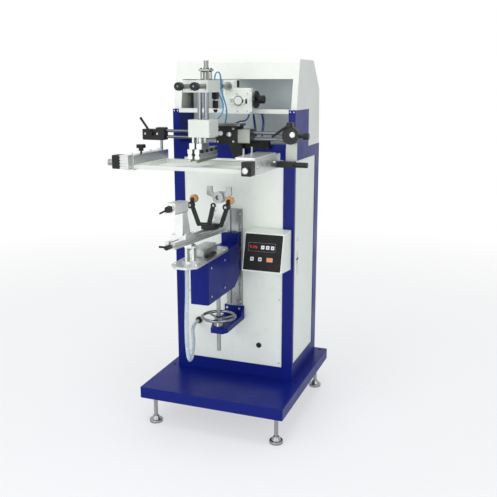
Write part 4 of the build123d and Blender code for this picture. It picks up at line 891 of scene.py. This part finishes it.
# body at each end, finish, diameter and route of each thin tube
AIR_TUBES = {
    "head_air_tube": ("head", "stroke", "blue_tube", 0.006, [
        (0.030, -0.429, 1.470), (0.037, -0.418, 1.452), (0.046, -0.411, 1.428), (0.051, -0.416, 1.404),
        (0.049, -0.434, 1.382), (0.044, -0.452, 1.371), (0.041, -0.461, 1.363)]),
    "loop_air_tube": ("head", "machine", "blue_tube", 0.006, [
        (0.026, -0.446, 1.513), (0.026, -0.445, 1.529), (0.027, -0.431, 1.545), (0.028, -0.402, 1.545),
        (0.028, -0.387, 1.526), (0.028, -0.386, 1.494), (0.033, -0.388, 1.464), (0.044, -0.390, 1.434),
        (0.051, -0.386, 1.406), (0.046, -0.370, 1.377), (0.030, -0.347, 1.352), (0.022, -0.331, 1.331)]),
    "slide_tube_left": ("machine", "machine", "navy_tube", 0.006, [
        (0.084, -0.215, 1.378), (0.084, -0.216, 1.364), (0.070, -0.222, 1.346), (0.046, -0.233, 1.346),
        (0.018, -0.245, 1.331)]),
    "slide_tube_middle": ("machine", "machine", "navy_tube", 0.010, [
        (0.060, -0.039, 1.373), (0.062, -0.080, 1.375), (0.070, -0.122, 1.376), (0.086, -0.162, 1.360),
        (0.100, -0.190, 1.335), (0.111, -0.209, 1.306), (0.114, -0.213, 1.283)]),
    "slide_tube_right": ("machine", "machine", "navy_tube", 0.010, [
        (0.092, -0.039, 1.373), (0.096, -0.080, 1.375), (0.108, -0.122, 1.376), (0.126, -0.160, 1.361),
        (0.139, -0.186, 1.338), (0.142, -0.207, 1.308), (0.142, -0.213, 1.283)]),
}


def spline_points(route):
    """Points read from the smooth spline that a placed route controls."""
    curve = bpy.data.curves.new("route", "CURVE")
    curve.dimensions = "3D"
    curve.resolution_u = 24
    spline = curve.splines.new("NURBS")
    spline.points.add(len(route) - 1)
    for point, place in zip(spline.points, route):
        point.co = (*placed(*place), 1.0)
    spline.order_u = 3
    spline.use_endpoint_u = True
    carrier = bpy.data.objects.new("route", curve)
    scene.collection.objects.link(carrier)
    bpy.context.view_layer.update()
    mesh = bpy.data.meshes.new_from_object(carrier)
    points = [v.co.copy() for v in mesh.vertices]
    bpy.data.objects.remove(carrier)
    bpy.data.meshes.remove(mesh)
    return points


def tube_along(bm, points, radius, steps):
    """Adds a closed round tube that follows the points without twisting."""
    side = Vector((1, 0, 0))
    rings = []
    for index, point in enumerate(points):
        before, after = points[max(index - 1, 0)], points[min(index + 1, len(points) - 1)]
        along = (after - before).normalized()
        side = (side - along * side.dot(along)).normalized()
        third = along.cross(side)
        rings.append([bm.verts.new(point + side * math.cos(a) * radius + third * math.sin(a) * radius)
                      for a in (math.tau * step / steps for step in range(steps))])
    skin(bm, rings)


def tube_object(name, points, diameter, finish, steps):
    """Tube along these points, not yet riding on any body."""
    mesh = mesh_from(name, lambda bm: tube_along(bm, points, diameter / 2, steps))
    mesh.materials.append(finish)
    mesh.shade_smooth()
    tube = bpy.data.objects.new(name, mesh)
    scene.collection.objects.link(tube)
    return tube


def air_hose():
    points = spline_points(HOSE_ROUTE)
    hose = tube_object("air_hose", points, HOSE_DIAMETER, finishes["clear_tube"], steps=24)
    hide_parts("table_hose")
    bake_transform(hose)


def air_tubes():
    """Thin tubes that feed the cylinders on the print head and the slide."""
    for name, (start, end, finish, diameter, route) in AIR_TUBES.items():
        points = spline_points(route)
        tube = tube_object(name, points, diameter, tube_finishes[finish], steps=12)
        if start == end:
            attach(tube, start)
        else:
            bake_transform(tube)


column_details()
panel_holes()
door_details()
control_details()
knee_details()
jig_details()
adjuster_details()
crosshead_details()
slide_details()
dial_marks()
fittings()
carriage_details()
air_hose()
air_tubes()


# ---------------------------------------------------------------- studio
IMAGE_SIDE = 497
FOCAL_PIXELS = 707.48
SENSOR_WIDTH = 36.0  # millimetres
CAMERA_AT = placed(1.1441, -3.0659, 1.5053)
CAMERA_PITCH, CAMERA_TURN = 76.792, 20.445
WHITE = (1.0, 1.0, 1.0, 1.0)
SKY_COLOUR, SKY_STRENGTH = (0.92, 0.95, 1.0, 1.0), 0.55
FLOOR_SIDE, FLOOR_THICK = 30.0, 0.02
FLOOR_FOOT = (0, 6, -0.0202)  # its top lies 0.2 mm under the levelling pads


def seen_directly(tree):
    """1 for rays that show the background: camera, mirror and glass rays."""
    path = tree.nodes.new("ShaderNodeLightPath")
    total = path.outputs["Is Camera Ray"]
    for name in ("Is Glossy Ray", "Is Transmission Ray"):
        step = tree.nodes.new("ShaderNodeMath")
        step.operation = "MAXIMUM"
        tree.links.new(total, step.inputs[0])
        tree.links.new(path.outputs[name], step.inputs[1])
        total = step.outputs["Value"]
    return total


def studio_world():
    world = bpy.data.worlds.new("studio")
    scene.world = world
    world.use_nodes = True
    tree = world.node_tree
    light = tree.nodes["Background"]
    light.inputs["Color"].default_value = SKY_COLOUR
    light.inputs["Strength"].default_value = SKY_STRENGTH
    white = tree.nodes.new("ShaderNodeBackground")
    white.inputs["Color"].default_value = WHITE
    white.inputs["Strength"].default_value = 1.0
    mix = tree.nodes.new("ShaderNodeMixShader")
    tree.links.new(seen_directly(tree), mix.inputs[0])
    tree.links.new(light.outputs[0], mix.inputs[1])
    tree.links.new(white.outputs[0], mix.inputs[2])
    tree.links.new(mix.outputs[0], tree.nodes["World Output"].inputs["Surface"])


def studio_floor():
    """Pale floor that takes the shadow and fades to white with distance."""
    size = (FLOOR_SIDE, FLOOR_SIDE, FLOOR_THICK)
    mesh = mesh_from("floor", lambda bm: slab(bm, size, Matrix.Translation(FLOOR_FOOT)))
    floor = bpy.data.objects.new("floor", mesh)
    scene.collection.objects.link(floor)
    made = Finish("pale_floor", display(236, 237, 240), roughness=0.6)
    made.blotch(scale=3.0, detail=3.0, amount=0.3, colour=display(230, 231, 236))
    glow = made.add("ShaderNodeEmission")
    glow.inputs["Color"].default_value = WHITE
    distance = made.add("ShaderNodeVectorMath", operation="LENGTH")
    made.wire(made.place, distance.inputs[0])
    share = made.spread(distance.outputs["Value"], 0.55, 1.0, start=0.8, end=4.5)
    amount = made.add("ShaderNodeMath", operation="MULTIPLY")
    made.wire(share, amount.inputs[0])
    made.wire(seen_directly(made.tree), amount.inputs[1])
    mix = made.add("ShaderNodeMixShader")
    made.wire(amount.outputs["Value"], mix.inputs[0])
    made.wire(made.shader.outputs["BSDF"], mix.inputs[1])
    made.wire(glow.outputs["Emission"], mix.inputs[2])
    made.wire(mix.outputs["Shader"], made.tree.nodes["Material Output"].inputs["Surface"])
    floor.data.materials.append(made.material)


def softbox(name, place, aim, size, power):
    """Square lamp at place that points at aim."""
    lamp = bpy.data.lights.new(name, "AREA")
    lamp.shape = "SQUARE"
    lamp.size = size
    lamp.energy = power
    made = bpy.data.objects.new(name, lamp)
    scene.collection.objects.link(made)
    made.location = place
    made.rotation_euler = (Vector(aim) - Vector(place)).to_track_quat("-Z", "Y").to_euler()


def studio_camera():
    lens = bpy.data.cameras.new("camera")
    lens.sensor_width = SENSOR_WIDTH
    lens.lens = FOCAL_PIXELS * SENSOR_WIDTH / IMAGE_SIDE
    made = bpy.data.objects.new("camera", lens)
    scene.collection.objects.link(made)
    made.location = CAMERA_AT
    made.rotation_euler = (math.radians(CAMERA_PITCH), 0.0, math.radians(CAMERA_TURN))
    scene.camera = made


studio_world()
studio_floor()
softbox("key", place=(-2.2, -4.2, 3.4), aim=(0.0, 0.0, 0.8), size=2.6, power=50.0)
softbox("front", place=(-0.3, -4.6, 0.8), aim=(0.0, 0.0, 0.4), size=2.2, power=48.0)
softbox("fill", place=(3.6, -2.6, 2.4), aim=(0.0, 0.0, 0.8), size=2.4, power=32.0)
softbox("top", place=(0.3, -0.9, 4.4), aim=(0.0, 0.0, 0.6), size=2.2, power=60.0)
studio_camera()
scene.view_settings.view_transform = "Standard"
